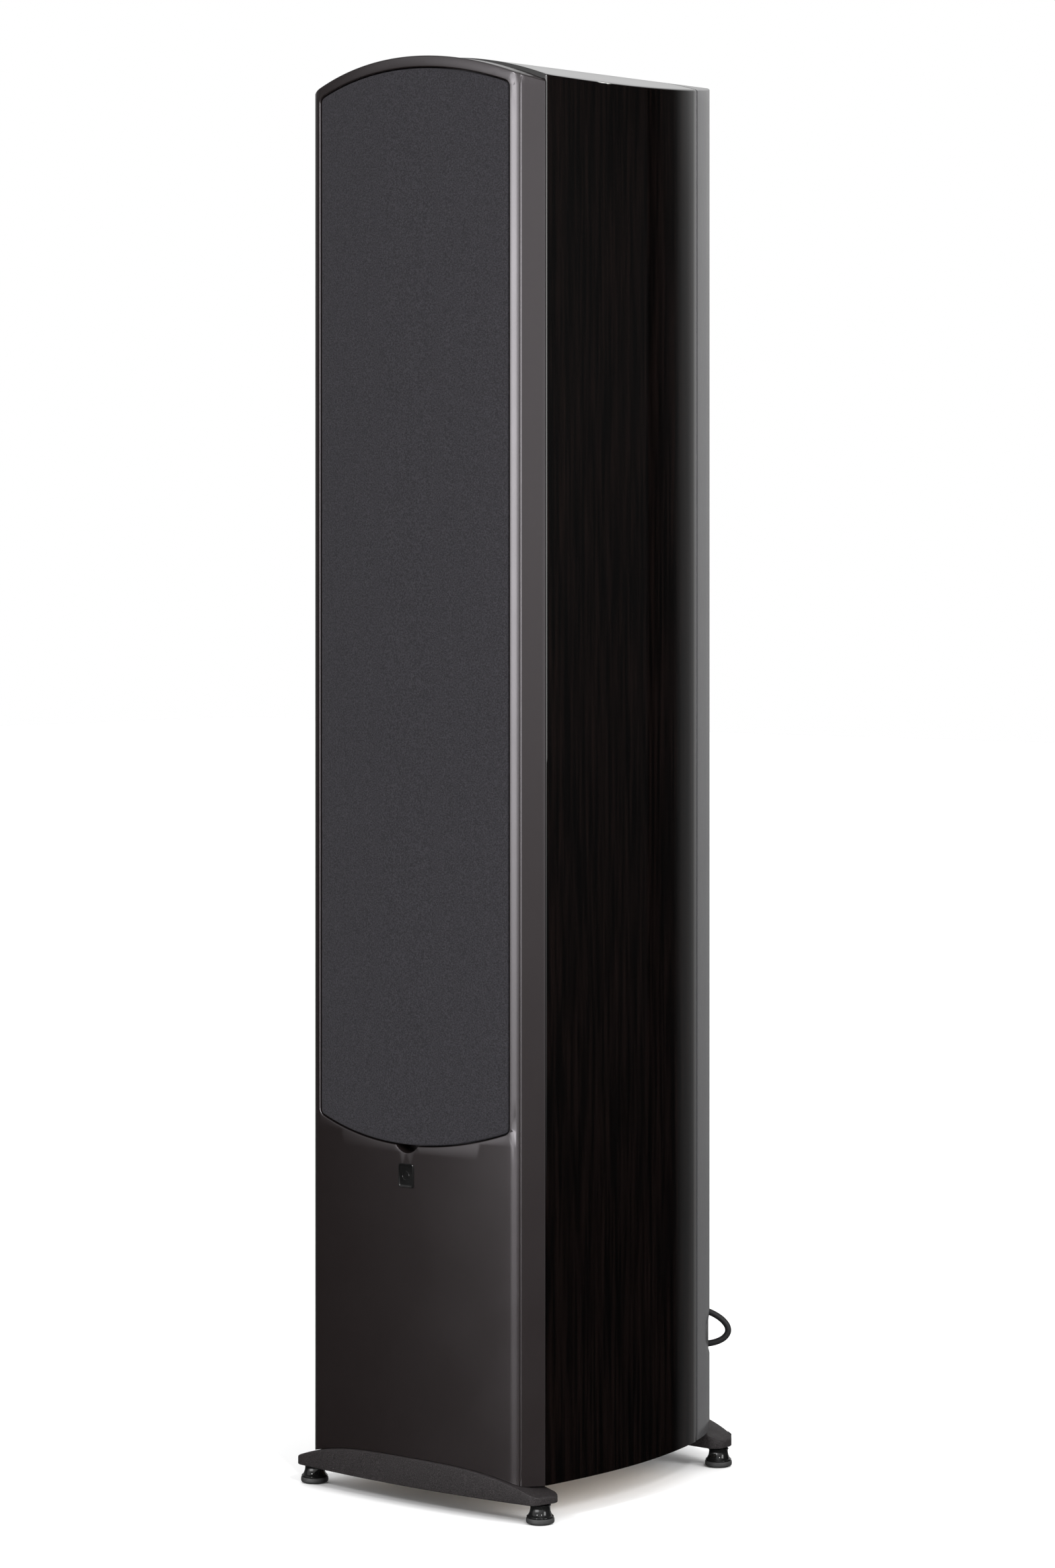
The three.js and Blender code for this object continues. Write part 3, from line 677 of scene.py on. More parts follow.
def shell():
    """The lacquered sides and top, one continuous coat over three boards."""
    rows = [shell_section(SHELL_FRONT + ahead, inset, inset)
            for ahead, inset in reversed(rounding(SHELL_FRONT_EDGE, 4))]
    depths = np.linspace(SHELL_FRONT + SHELL_FRONT_EDGE, SHELL_BACK - SHELL_REAR_EDGE, 40)[1:-1]
    rows += [shell_section(y, 0, 0) for y in depths]
    rows += [shell_section(SHELL_BACK - behind, inset, inset)
             for behind, inset in rounding(SHELL_REAR_EDGE, 4)]
    inner = [shell_section(y, WALL, TOP_THICK) for y in np.linspace(SHELL_BACK, SHELL_FRONT, len(rows))]
    mesh = Mesh()
    mesh.grid(closed(rows + inner))
    for foot in (0, -1):
        mesh.grid([[row[foot] for row in rows], [row[foot] for row in reversed(inner)]])
    boards = ["side_panel_left", "side_panel_right", "top_panel"]
    mesh.piece("lacquer_shell", LACQUER, replaces=boards, slot="lacquer")


def gap_shade_band(name, y0, y1, inset):
    """A band that closes the gap between the shell and the board at one of its ends; its dark colour is
    painted shade for the shadow gap.
    """
    def band(y, depth):
        half = side_half(y) - depth
        side = [(half, y, z) for z in np.linspace(CABINET_BOTTOM + 2, top_height(half, depth), 12)]
        over = [(x, y, top_height(x, depth)) for x in np.linspace(half, -half, 48)][1:-1]
        return side + over + [(-x, y, z) for x, y, z in reversed(side)]

    inner = inset + GAP_SHADE_BAND_THICK
    rows = [band(y0, inset), band(y1, inset), band(y1, inner), band(y0, inner)]
    mesh = Mesh()
    mesh.grid(closed(rows))
    for foot in (0, -1):
        mesh.cap([row[foot] for row in rows])
    # Painted shade: the dark rubber finish stands for the gap's shade.
    mesh.piece(name, RUBBER, slot="foot_rubber")


def baffle_line():
    """The baffle's plan from its left back corner to its right one: facet, groove, shoulder, bowed face."""
    face = [(x, float(face_depth(x))) for x in np.linspace(0, SHOULDER_FROM, 24)]
    start = math.asin(SHOULDER_FROM / FACE_RADIUS)
    x0, y0 = face[-1]
    hub = (x0 - SHOULDER_RADIUS * math.sin(start), y0 + SHOULDER_RADIUS * math.cos(start))
    shoulder = [(hub[0] + SHOULDER_RADIUS * math.sin(a), hub[1] - SHOULDER_RADIUS * math.cos(a))
                for a in arc_steps(start, SHOULDER_END, 12)][1:]
    x1, y1 = shoulder[-1]
    groove = [(x1 + 0.06, y1 + 0.75 * GROOVE_DEPTH), (x1 + 0.2, y1 + GROOVE_DEPTH)]
    lip = (x1 + 0.28, y1 + GROOVE_DEPTH + LIP_RADIUS)
    groove += [(lip[0] + LIP_RADIUS * math.sin(a), lip[1] - LIP_RADIUS * math.cos(a))
               for a in arc_steps(0, math.radians(50), 5)]
    facet = [tuple(p) for p in np.linspace(groove[-1], (FACET_HALF, BAFFLE_BACK), 8)[1:]]
    right = face + shoulder + groove + facet
    left = [(-x, y) for x, y in reversed(right[1:])]
    return np.array(left + right)


def grille_outline(gap, notch=False):
    """The grille's outline, or its recess's, in (x, z): arched above, bellied below."""
    half = GRILLE_HALF + gap
    xs = np.linspace(-half, half, 49)
    if notch:
        xs = np.unique(np.concatenate([xs, np.linspace(-NOTCH_RADIUS, NOTCH_RADIUS, 33)]))
    lower = GRILLE_BOTTOM - gap + sag(xs, ARCH_RADIUS)
    if notch:
        drop = np.sqrt(np.maximum(NOTCH_RADIUS**2 - xs**2, 0))
        dip = np.where(np.abs(xs) < NOTCH_RADIUS, NOTCH_BOTTOM + NOTCH_RADIUS - drop, lower)
        lower = np.minimum(lower, dip)
    top_xs = np.linspace(half, -half, 49)
    upper = GRILLE_TOP + gap - sag(top_xs, ARCH_RADIUS)
    return round_ends(np.stack([xs, lower], 1), np.stack([top_xs, upper], 1), GRILLE_CORNER + gap)


def round_ends(lower, upper, radius):
    """Joins two runs of points, rounding the four corners where they meet and leaving what lies between."""
    loop = np.concatenate([lower, upper])
    corners = loop[[0, len(lower) - 1, len(lower), -1]]

    def from_corner(p):
        return np.min(np.hypot(*(corners - p).T))

    loop = [p for p in loop if not 0 < from_corner(p) <= radius * 1.3]
    out = []
    for i, p in enumerate(loop):
        after = loop[(i + 1) % len(loop)]
        out += [p] if from_corner(p) > 0 else corner_arc(loop[i - 1], p, after, radius, 8)
    return np.array(out)


ARM_TOP = drawn("outrigger_front")[1][2]
ARM_BOTTOM = drawn("outrigger_front")[0][2]
ARM_DROP = 15.6
ARM_LOWER_EDGE, ARM_UPPER_EDGE = 0.8, 1.3
FRONT_ARM = {"half": 121.3, "flare": 5, "face": -1.8, "bow": 8, "back": 25, "corner": 6.5}
REAR_ARM = {"half": 93.2, "flare": 2.4, "face": 277, "bow": 8, "back": 252, "corner": 10}


def arm_height(x, arm):
    return ARM_TOP - ARM_DROP * np.minimum(1.1, np.abs(x) / arm["half"]) ** 3


DRIVERS = {
    "mid_upper": "mid", "mid_lower": "mid", "woofer_upper": "woofer", "woofer_lower": "woofer",
}
# Radii of the flange, the baffle's hole, the surround's two edges, the coil and the phase plug; the height
# of the surround's roll; the depths of the cone, the basket's waist and the motor; the number of screws.
SIZES = {
    "woofer": {"flange": 82.5, "hole": 72, "out": 69, "in": 58, "roll": 4.6, "coil": 16, "cone": 32,
               "waist": 41, "motor": 58, "plug": 12, "screws": 8},
    "mid": {"flange": 62, "hole": 53, "out": 50, "in": 42.5, "roll": 3, "coil": 12.5, "cone": 22,
            "waist": 33, "motor": 44, "plug": 9, "screws": 6},
}
FLANGE_FACE, FLANGE_SEAT = 4.2, 8.5
TWEETER_PLATE, TWEETER_HOLE, TWEETER_DOME = 37, 28, 12.8


def openings_in_baffle():
    """(z, rebate radius, hole radius) of each driver."""
    found = [(centre(name + "_frame")[2], SIZES[kind]["flange"] + PLAY, SIZES[kind]["hole"])
             for name, kind in DRIVERS.items()]
    return found + [(centre("tweeter_dome")[2], TWEETER_PLATE + PLAY, TWEETER_HOLE)]


def crowned_border(mesh, wall, bottom, top, radius, back):
    """Rounds an upright surface's top edge and closes its top and bottom to a plane at its back.

    Returns the surface's outline in (u, z), the back plane's in (x, z) and the rounded edge's rows.
    """
    xs = wall.line[:, 0]
    low, high = bottom(xs), top(xs)
    rows = [wall.place(np.stack([wall.u, high - down], 1), depth) for down, depth in rounding(radius, 4)]
    rows[-1][:, 2] = top(rows[-1][:, 0])
    far = at_depth(rows[-1], back)
    mesh.grid(rows + [far])
    foot = np.stack([wall.u, low], 1)
    front = wall.place(foot)
    under = at_depth(front, back)
    mesh.grid([front, under])
    outline = np.concatenate([foot, np.stack([wall.u, high - radius], 1)[::-1]])
    plane = np.concatenate([under[:, [0, 2]], far[::-1][:, [0, 2]]])
    apart = np.hypot(*(plane - np.roll(plane, 1, axis=0)).T) > 0.02
    apart[0] = True
    return outline, plane[apart], rows


def baffle_foot(x):
    return np.maximum(CABINET_BOTTOM, arm_height(x, FRONT_ARM) + 0.35)


def baffle():
    mesh = Mesh()
    wall = Upright(baffle_line(), 1)
    outline, plane, rows = crowned_border(
        mesh, wall, baffle_foot, lambda x: BAFFLE_CROWN - sag(x, ARCH_RADIUS), 1.3, BAFFLE_BACK)
    recess = wall.along(grille_outline(GRILLE_CLEARANCE, notch=True), FACE_HALF)
    wall.skin(mesh, outline, [grow(recess, RECESS_EDGE)], wall.u[1:-1], BAFFLE_ROWS, 1.6)
    bed = straight_to(mesh, wall.rim(mesh, recess, RECESS_EDGE), RECESS_FLOOR)
    holes = openings_in_baffle()
    flat(mesh, bed, [circle(0, z, rebate) for z, rebate, _ in holes], RECESS_FLOOR)
    seat = FLANGE_SEAT + PLAY
    for z, rebate, hole in holes:
        steps = [(rebate, RECESS_FLOOR), (rebate, seat), (hole, seat), (hole, BAFFLE_BACK)]
        mesh.grid([with_depth(circle(0, z, r), depth) for r, depth in steps], loop=True)
    flat(mesh, plane, [circle(0, z, hole) for z, _, hole in holes], BAFFLE_BACK)
    for end in (0, -1):
        mesh.cap([row[end] for row in rows])
    mesh.piece("baffle_face", SATIN, replaces=["front_baffle"], slot="satin_baffle", sharp=28)


def rear_line():
    """The rear panel's plan, from its left front edge round the back to its right one."""
    small = 0.6
    start = math.asin((REAR_START + small - REAR_CENTRE) / REAR_HALF_DEPTH)
    right = [(REAR_HALF_WIDTH * math.cos(a), REAR_CENTRE + REAR_HALF_DEPTH * math.sin(a))
             for a in arc_steps(start, QUARTER, 60)]
    x0, y0 = right[0]
    bend = [(x0 - small * (1 - math.cos(a)), y0 - small * math.sin(a)) for a in arc_steps(QUARTER, 0, 5)][:-1]
    right = bend + right
    left = [(-x, y) for x, y in reversed(right[:-1])]
    return np.array(right + left)[::-1]


CUP_Z = centre("terminal_cup")[2]
CUP_HALF_WIDTH, CUP_HALF_HEIGHT, CUP_FLOOR = 83, 29, 274
POCKET_HALF_WIDTH, POCKET_HALF_HEIGHT, POCKET_SQUARENESS = 62, 24, 4
PORT_MOUTH, PORT_BORE = 38, 25
PORTS = ["port_tube_lower", "port_tube_upper"]


def rear():
    mesh = Mesh()
    wall = Upright(rear_line(), -1)
    outline, plane, _ = crowned_border(
        mesh, wall, lambda x: np.full(len(x), CABINET_BOTTOM), top_height, 1.2, REAR_START)
    cuts = [(squared_ellipse(CUP_HALF_WIDTH, CUP_HALF_HEIGHT, CUP_Z, 2, 160), 1.5)]
    cuts += [(circle(0, centre(node)[2], PORT_MOUTH + PLAY), 1.2) for node in PORTS]
    cuts = [(wall.along(loop, REAR_HALF_WIDTH * 0.87), radius) for loop, radius in cuts]
    edges = [grow(loop, radius) for loop, radius in cuts]
    wall.skin(mesh, outline, edges, wall.u[1:-1], REAR_ROWS, 1.6)
    far = [straight_to(mesh, wall.rim(mesh, loop, radius), REAR_START) for loop, radius in cuts]
    flat(mesh, plane, far, REAR_START)
    mesh.piece("rear_spine", SPINE, replaces=["rear_panel"], slot="rear_spine", sharp=32)


def outrigger(name, arm, foot_nodes):
    """A cast bar: flat below, arched above, bowed on its outer face."""
    outwards = math.copysign(1, arm["face"] - arm["back"])
    wide = arm["half"] + arm["flare"]
    face = [(x, arm["face"] + outwards * arm["bow"] * (1 - (x / arm["half"]) ** 2))
            for x in np.linspace(-arm["half"], arm["half"], 49)]
    plan = rounded(face + [(wide, arm["back"]), (-wide, arm["back"])], arm["corner"], 10)
    rows = []
    for inward, up in rounding(ARM_LOWER_EDGE, 5):
        rows.append(with_height(grow(plan, -inward), ARM_BOTTOM + up))
    for down, inward in rounding(ARM_UPPER_EDGE, 5):
        loop = grow(plan, -inward)
        rows.append(with_height(loop, arm_height(loop[:, 0], arm) - down))
    mesh = Mesh()
    mesh.grid(rows, loop=True)
    depths = np.linspace(*sorted((arm["face"] - 9, arm["back"] + 9)), 12)
    found, triangles = fill(rows[-1][:, :2], [], np.linspace(-wide, wide, 64), depths, 1.2)
    mesh.patch(with_height(found, arm_height(found[:, 0], arm)), triangles)
    holes = []
    bore, bore_top = STUD_RADIUS + PLAY, STUD_TOP + 0.5
    for node in foot_nodes:
        x, y, _ = centre(node)
        holes.append(circle(x, y, bore, 32))
        turned(mesh, [(bore, ARM_BOTTOM), (bore, bore_top), (0, bore_top)], x, 0, 32, upright_at=y)
    found, triangles = fill(rows[0][:, :2], holes, [], [])
    mesh.patch(with_height(found, ARM_BOTTOM), triangles)
    mesh.piece(name + "_cast", POWDER, replaces=[name], slot="powder_coat", sharp=40)


STUD_RADIUS, STUD_TOP = 4, 21
FEET = ["front_left", "front_right", "rear_left", "rear_right"]


def feet():
    """Gloss bells with a concave flare and an open lipped top, on matt rings."""
    pad = [(0, 0), (8.6, 0), (8.6, 0.6), (9.8, 0.6), (10.5, 1.2), (10.7, 2.2), (10.6, 4.3), (10.2, 4.7),
           (0, 4.7)]
    flare = [(10.2 - 2.75 * math.sin(a) ** 1.15, 6.0 + 6.3 * (1 - math.cos(a)) ** 0.9)
             for a in arc_steps(0.12, QUARTER, 14)]
    lip = [(7.5, 12.9), (7.75, 13.6), (8.05, 14.05), (7.9, 14.3), (7.3, 14.2), (6.6, 13.4), (4.8, 12.9)]
    stud = [(STUD_RADIUS, 12.8), (STUD_RADIUS, STUD_TOP), (0, STUD_TOP)]
    bell = [(0, 5), (9.9, 5), (10.25, 5.5)] + flare + lip + stud
    for name in FEET:
        x, y, _ = centre("foot_pad_" + name)
        body = "foot_" + name
        ring_piece("foot_ring_" + name, soft_corners(pad), x, 0, RUBBER, 72, y, body=body,
                   replaces=["foot_pad_" + name], slot="foot_rubber")
        ring_piece("foot_flare_" + name, bell, x, 0, GLOSS_BLACK, 96, y, body=body,
                   replaces=["foot_bell_" + name], slot="black_gloss", sharp=50)


def badge():
    """A plain gloss plaque with a bevelled rim, a dished field and one small raised ring."""
    low, high = drawn("badge")
    z = (low[2] + high[2]) / 2
    half_width, half_height = (high[0] - low[0]) / 2, (high[2] - low[2]) / 2
    front = low[1]
    levels = [(0, high[1]), (0, front + 0.8), (0.12, front + 0.3), (0.5, front), (0.9, front),
              (1.1, front + 0.1), (1.25, front + 0.35), (1.5, front + 0.42), (2.2, front + 0.42)]
    rows = []
    for inward, depth in levels:
        w, h = half_width - inward, half_height - inward
        corners = [(-w, z - h), (w, z - h), (w, z + h), (-w, z + h)]
        rows.append(with_depth(rounded(corners, 1.7 - inward * 0.5), depth))
    mesh = Mesh()
    mesh.grid(rows, loop=True)
    mesh.cap(rows[-1])
    mesh.cap(rows[0])
    raised = [(3.0, 0.5), (3.0, 0.2), (3.3, 0.02), (3.6, 0.2), (3.6, 0.5)]
    turned(mesh, [(r, front + depth) for r, depth in raised], 0, z, 48)
    mesh.piece("badge_plaque", GLOSS_BLACK, replaces=["badge"], slot="black_gloss", sharp=32)


# ---- The grille ----
CLOTH_EDGE, CLOTH_LIFT, CLOTH_THICK, CLOTH_HEM = 1.7, 0.22, 0.45, 10
BOARD_LIFT, BOARD_INSET, BOARD_HOLE_MARGIN = 1.3, 0.9, 2.7


def grille():
    wall = Upright([(x, float(face_depth(x))) for x in np.linspace(-FACE_HALF, FACE_HALF, 61)], 1)
    outline = wall.along(grille_outline(0), FACE_HALF)
    mesh = Mesh()
    rows = [wall.place(grow(outline, -inward), CLOTH_LIFT + back) for inward, back in rounding(CLOTH_EDGE, 6)]
    rows += [at_depth(row, RECESS_FLOOR - 0.35) for row in (rows[-1], wall.place(grow(outline, -4)))]
    mesh.grid(rows, loop=True)
    wall.skin(mesh, grow(outline, -CLOTH_EDGE), [], wall.u, CLOTH_ROWS, 1.2, CLOTH_LIFT)
    cloth = mesh.piece("grille_skin", CLOTH, body="grille", replaces=["grille_cloth"],
                       slot="grille_cloth", sharp=70)
    solid = cloth.modifiers.new("thickness", "SOLIDIFY")
    solid.thickness, solid.offset = CLOTH_THICK * MM, -1

    board = Mesh()
    inner = grow(outline, -BOARD_INSET)
    holes = [wall.along(circle(0, z, rebate + BOARD_HOLE_MARGIN), FACE_HALF)
             for z, rebate, _ in openings_in_baffle()]
    wall.skin(board, inner, holes, wall.u, CLOTH_ROWS[::2], 2, BOARD_LIFT)
    back = RECESS_FLOOR - 1.0
    inner, *holes = [straight_to(board, wall.place(loop, BOARD_LIFT), back) for loop in (inner, *holes)]
    flat(board, inner, holes, back)
    board.piece("grille_board", GRILLE_BOARD, body="grille", replaces=["grille_frame"], slot="grille_board")


# ---- The drivers ----
def screw_heads(name, z, ring, count, radius, turn):
    """Cap screws with round sockets, set round a ring in a flange."""
    face = FLANGE_FACE
    profile = [(radius, face + 1.2), (radius, face - 0.1), (radius - 0.4, face - 0.5),
               (radius * 0.5, face - 0.5), (radius * 0.5, face + 0.7)]
    mesh = Mesh()
    for k in range(count):
        a = 2 * math.pi * k / count + turn
        place = ring * math.cos(a), z + ring * math.sin(a)
        turned(mesh, profile, *place, 24)
        for reach, depth in (profile[0], profile[-1]):
            mesh.cap(with_depth(circle(*place, reach, 24), depth))
    mesh.piece(name, PLUG_METAL, slot="plug_aluminium", sharp=30)


def basket(name, z, size):
    flange, hole, out, coil, motor, waist = (
        size[key] for key in ("flange", "hole", "out", "coil", "motor", "waist"))
    face = FLANGE_FACE
    profile = [
        (out + 0.6, face + 1.6), (out + 1.4, face + 0.7), (out + 3, face), (flange - 1.6, face),
        (flange, face + 1.4), (flange, FLANGE_SEAT), (hole - 1, FLANGE_SEAT), (hole - 4, 20),
        (coil + 24, waist), (coil + 22, motor - PLAY), (coil + 6, motor - PLAY), (coil + 6, motor - 3),
        (coil + 19, motor - 4), (coil + 20, waist - 2), (hole - 8, 18), (out + 0.6, 9),
    ]
    ring_piece(name + "_basket", soft_corners(profile), 0, z, FRAME_METAL,
               replaces=[name + "_frame"], slot="driver_frame")


def half_roll(name, z, size):
    """The rubber surround: a half-round roll with a flat edge outside it and a lip inside it."""
    face, thick = FLANGE_FACE, 0.8
    middle, reach = (size["in"] + size["out"]) / 2, (size["out"] - size["in"]) / 2
    outer = [(middle + reach * math.cos(a), face + 2 - size["roll"] * math.sin(a))
             for a in arc_steps(0, math.pi, 16)]
    inner = [(middle + (reach - thick) * math.cos(a), face + 2.2 - (size["roll"] - thick) * math.sin(a))
             for a in arc_steps(math.pi, 0, 16)]
    lip = [(size["in"] + 0.05, face + 1.9), (size["in"] + 0.05, face + 2.6)]
    rim = [(size["out"] + 0.5, face + 2.3), (size["out"] + 0.5, face + 1.8)]
    ring_piece(name + "_half_roll", closed(outer + lip + inner + rim), 0, z, SURROUND, 128,
               replaces=[name + "_surround"], slot="surround_rubber", sharp=50)


def diaphragm(name, z, size, back):
    """The cone, slightly bellied, with the coil's former behind it."""
    edge, coil, former_end = FLANGE_FACE + 2.9, size["coil"], size["motor"] + 5
    front = []
    for t in arc_steps(0, 1, 16):
        radius = (size["in"] - PLAY) * (1 - t) + (coil + 0.2) * t
        front.append((radius, edge + (back - edge) * (t + 0.16 * t * (1 - t))))
    former = [(coil - 0.4, back), (coil - 0.4, former_end), (coil + 1, former_end), (coil + 1, back + 2)]
    rear_side = [(r + 0.1, d + 1.4) for r, d in reversed(front[:-1])]
    ring_piece(name + "_diaphragm", closed(front + former + rear_side), 0, z, CONE, 128,
               body=name + "_cone", replaces=[name + "_cone"], slot="cone_black", sharp=40)


def bullet(name, z, size, back):
    tip, length, end = back - size["cone"] * 0.55, 13, size["motor"] - PLAY
    profile = [(size["plug"] * math.sin(a) ** 0.8, tip + length * (1 - math.cos(a)))
               for a in arc_steps(0, QUARTER, 14)]
    profile += [(size["plug"], end), (0, end)]
    ring_piece(name + "_bullet", profile, 0, z, PLUG_METAL, 72,
               replaces=[name + "_phase_plug"], slot="plug_aluminium", sharp=50)


def driver(name, size):
    z = centre(name + "_frame")[2]
    back = FLANGE_FACE + 1.4 + size["cone"]
    basket(name, z, size)
    half_roll(name, z, size)
    diaphragm(name, z, size, back)
    bullet(name, z, size, back)
    screw_circle = (size["flange"] + size["out"]) / 2 + 1.2
    screw_heads(name + "_screws", z, screw_circle, size["screws"], 2.9, math.pi / size["screws"])


def tweeter():
    z = centre("tweeter_dome")[2]
    dome, face, rim, hole = TWEETER_DOME, FLANGE_FACE, TWEETER_PLATE, TWEETER_HOLE - 1
    plate = [(dome + 4, 9.2), (dome + 5, face + 3.1), (dome + 9, face + 1.6), (rim - 8, face + 0.35),
             (rim - 2, face), (rim, face + 0.9), (rim, FLANGE_SEAT), (hole, FLANGE_SEAT), (hole, 12),
             (dome + 4, 12)]
    ring_piece("tweeter_plate", soft_corners(plate), 0, z, PLATE_METAL,
               replaces=["tweeter_faceplate"], slot="driver_plate")
    cap = [(dome * math.sin(a), 10.6 - 8.2 * math.cos(a)) for a in arc_steps(0, math.radians(82), 18)]
    roll = [(dome + 1.3 - 1.3 * math.cos(a), 10.0 - 1.2 * math.sin(a)) for a in arc_steps(0, math.pi, 8)]
    edge = [(dome + 2.8, 10.1), (dome + 2.8, 10.6), (dome, 11.4), (dome, 13.6), (dome - 1, 13.6),
            (dome - 1, 10.8)]
    inner = [((dome - 0.9) * math.sin(a), 11.2 - 7.6 * math.cos(a))
             for a in arc_steps(math.radians(80), 0, 12)]
    ring_piece("tweeter_cap", cap + roll + edge + inner, 0, z, DOME_METAL, body="tweeter_dome",
               replaces=["tweeter_dome"], slot="dome_aluminium", sharp=45)
    screw_heads("tweeter_screws", z, rim - 5, 4, 2.2, math.pi / 4)


# ---- The rear's fittings ----
def terminal_cup():
    across = CUP_HALF_WIDTH * np.sin(np.linspace(-QUARTER, QUARTER, 80))
    wall = Upright([(x, float(rear_depth(x, 1))) for x in across], -1)
    mesh = Mesh()
    shape = squared_ellipse(CUP_HALF_WIDTH - PLAY, CUP_HALF_HEIGHT - PLAY, CUP_Z, 2, 160)
    pocket = squared_ellipse(POCKET_HALF_WIDTH, POCKET_HALF_HEIGHT, CUP_Z, POCKET_SQUARENESS)
    shape, pocket = wall.along(shape, CUP_HALF_WIDTH), wall.along(pocket, CUP_HALF_WIDTH)
    edge, mouth = 0.6, 2.4
    wall.skin(mesh, grow(shape, -edge), [grow(pocket, mouth)], wall.u, CUP_ROWS, 1.0)
    inside_face = drawn("terminal_cup")[0][1]
    flat(mesh, straight_to(mesh, wall.rim(mesh, shape, edge, hole=False), inside_face), [], inside_face)
    border = wall.rim(mesh, pocket, mouth, 6)
    foot = grow(border[:, [0, 2]], -0.7)
    bed = grow(foot, -1.4)
    mesh.grid([border, with_depth(foot, CUP_FLOOR + 1.6), with_depth(bed, CUP_FLOOR)], loop=True)
    flat(mesh, bed, [], CUP_FLOOR)
    mesh.piece("terminal_dish", MOULDED_BLACK, replaces=["terminal_cup"], slot="moulded_black", sharp=38)


POSTS = ["upper_left", "upper_right", "lower_left", "lower_right"]
STUD = 3.0


THREAD_PITCH = 1.0


def posts():
    """Gold collars and threaded studs, washers, and fluted knobs with a socket for a plug."""
    collar = [(0, CUP_FLOOR - 0.5), (6.8, CUP_FLOOR - 0.5), (6.8, 278.6), (6.0, 280), (STUD, 280)]
    thread = [(STUD - (0.45 if k % 2 else 0.05), 280.6 + k * THREAD_PITCH / 2) for k in range(34)]
    stud = collar + thread + [(STUD - 0.6, 297.7), (0, 298)]
    for name in POSTS:
        node = "post_washer_" + name
        low, high = drawn(node)
        x, _, z = (low + high) / 2
        ring_piece("post_stud_" + name, stud, x, z, GOLD, 48, slot="gold_plate", sharp=40)
        washer = [(STUD + PLAY, low[1]), (6.6, low[1]), (6.6, high[1]), (STUD + PLAY, high[1])]
        ring_piece("post_ring_" + name, soft_corners(washer), x, z, GOLD, 48, body=node,
                   replaces=[node], slot="gold_plate")
        knob(name, x, z)


def knob(name, x, z):
    """A fluted cap with a smooth collar, and the coloured band round its collar."""
    node = "post_knob_" + name
    low, high = drawn(node)
    count, flutes = 120, 15
    groove = np.maximum(0, np.cos(angles_round(count) * flutes)) ** 0.7
    y0, y1 = low[1], high[1]
    profile = [(STUD + PLAY, y0, 0), (6.4, y0, 0), (6.9, y0 + 0.4, 0), (7.0, y0 + 1.2, 0),
               (6.9, y0 + 2.0, 0.1), (6.9, y0 + 3.0, 0.55), (6.9, y1 - 4, 0.55), (6.9, y1 - 3.2, 0.1),
               (6.95, y1 - 2.6, 0), (6.9, y1 - 1.2, 0), (6.3, y1 - 0.3, 0), (5.6, y1, 0), (3.6, y1, 0),
               (3.3, y1 - 0.5, 0), (2.1, y1 - 0.9, 0), (2.1, 301, 0), (STUD + PLAY, 299, 0)]
    rows = [with_depth(circle(x, z, radius - fluting * groove, count), depth)
            for radius, depth, fluting in profile]
    mesh = Mesh()
    mesh.grid(closed(rows), loop=True)
    mesh.piece("post_cap_" + name, KNOB, body=node, replaces=[node], slot="knob_gloss", sharp=40)
    band = [(7.0, y0 + 0.9), (7.08, y0 + 0.9), (7.08, y0 + 1.9), (7.0, y0 + 1.9)]
    color = BAND_RED if name.endswith("right") else BAND_PALE
    ring_piece("post_band_" + name, closed(band), x, z, color, 64, body=node, slot="knob_gloss", sharp=60)


def port(node):
    """A flared reflex port whose mouth follows the rear panel's curve."""
    z = centre(node)[2]
    # The mouth and the flare are (radius, distance in from the rear panel's curve), the tube (radius, depth).
    mouth = [(PORT_MOUTH, 0.6), (PORT_MOUTH - 0.5, 0.15), (PORT_MOUTH - 1.2, 0)]
    flare = [(PORT_BORE + 11.5 * (1 - math.sin(a)), 0.4 + 30 * (1 - math.cos(a)))
             for a in arc_steps(0.02, QUARTER, 14)]
    tube = [(PORT_BORE, 205), (PORT_BORE + 0.6, 201), (PORT_BORE + 2, 200), (PORT_BORE + 3, 201.5),
            (PORT_BORE + 3, 289), (PORT_MOUTH - 1, 290), (PORT_MOUTH, 291)]
    rows = []
    for radius, inward in mouth + flare:
        loop = circle(0, z, radius, 96)
        rows.append(with_depth(loop, rear_depth(loop[:, 0], 0.9) - inward))
    rows += [with_depth(circle(0, z, radius, 96), depth) for radius, depth in tube]
    mesh = Mesh()
    mesh.grid(closed(rows), loop=True)
    mesh.piece(node + "_flare", MOULDED_BLACK, replaces=[node], slot="moulded_black", sharp=40)


# ---- The jumper cables ----
# The right-hand cable's route, from the upper post out past the cup's rim and back to the lower post.
JUMPER_ROUTE = [
    (27.6, 282.8, 118), (33, 283.2, 118.2), (39, 285, 118.1), (46, 288.6, 117.4), (52.5, 292.8, 115.6),
    (58.5, 297, 112.4), (63.2, 300.6, 108), (65.9, 302.8, 103), (66, 303, 98.6), (63.8, 301, 94.4),
    (59.4, 297.4, 91.3), (53.5, 293.2, 89.6), (46.5, 288.8, 89), (39, 285, 89.2), (33, 283.2, 89.8),
    (27.6, 282.8, 90),
]
JUMPER_DIAMETER = 5.0
BRAID_LAY, BRAID_STRANDS = 7.5, 8


def between(p, q, start, end, s):
    """The point at s on the line that leaves p at start and reaches q at end."""
    return (end - s) / (end - start) * p + (s - start) / (end - start) * q


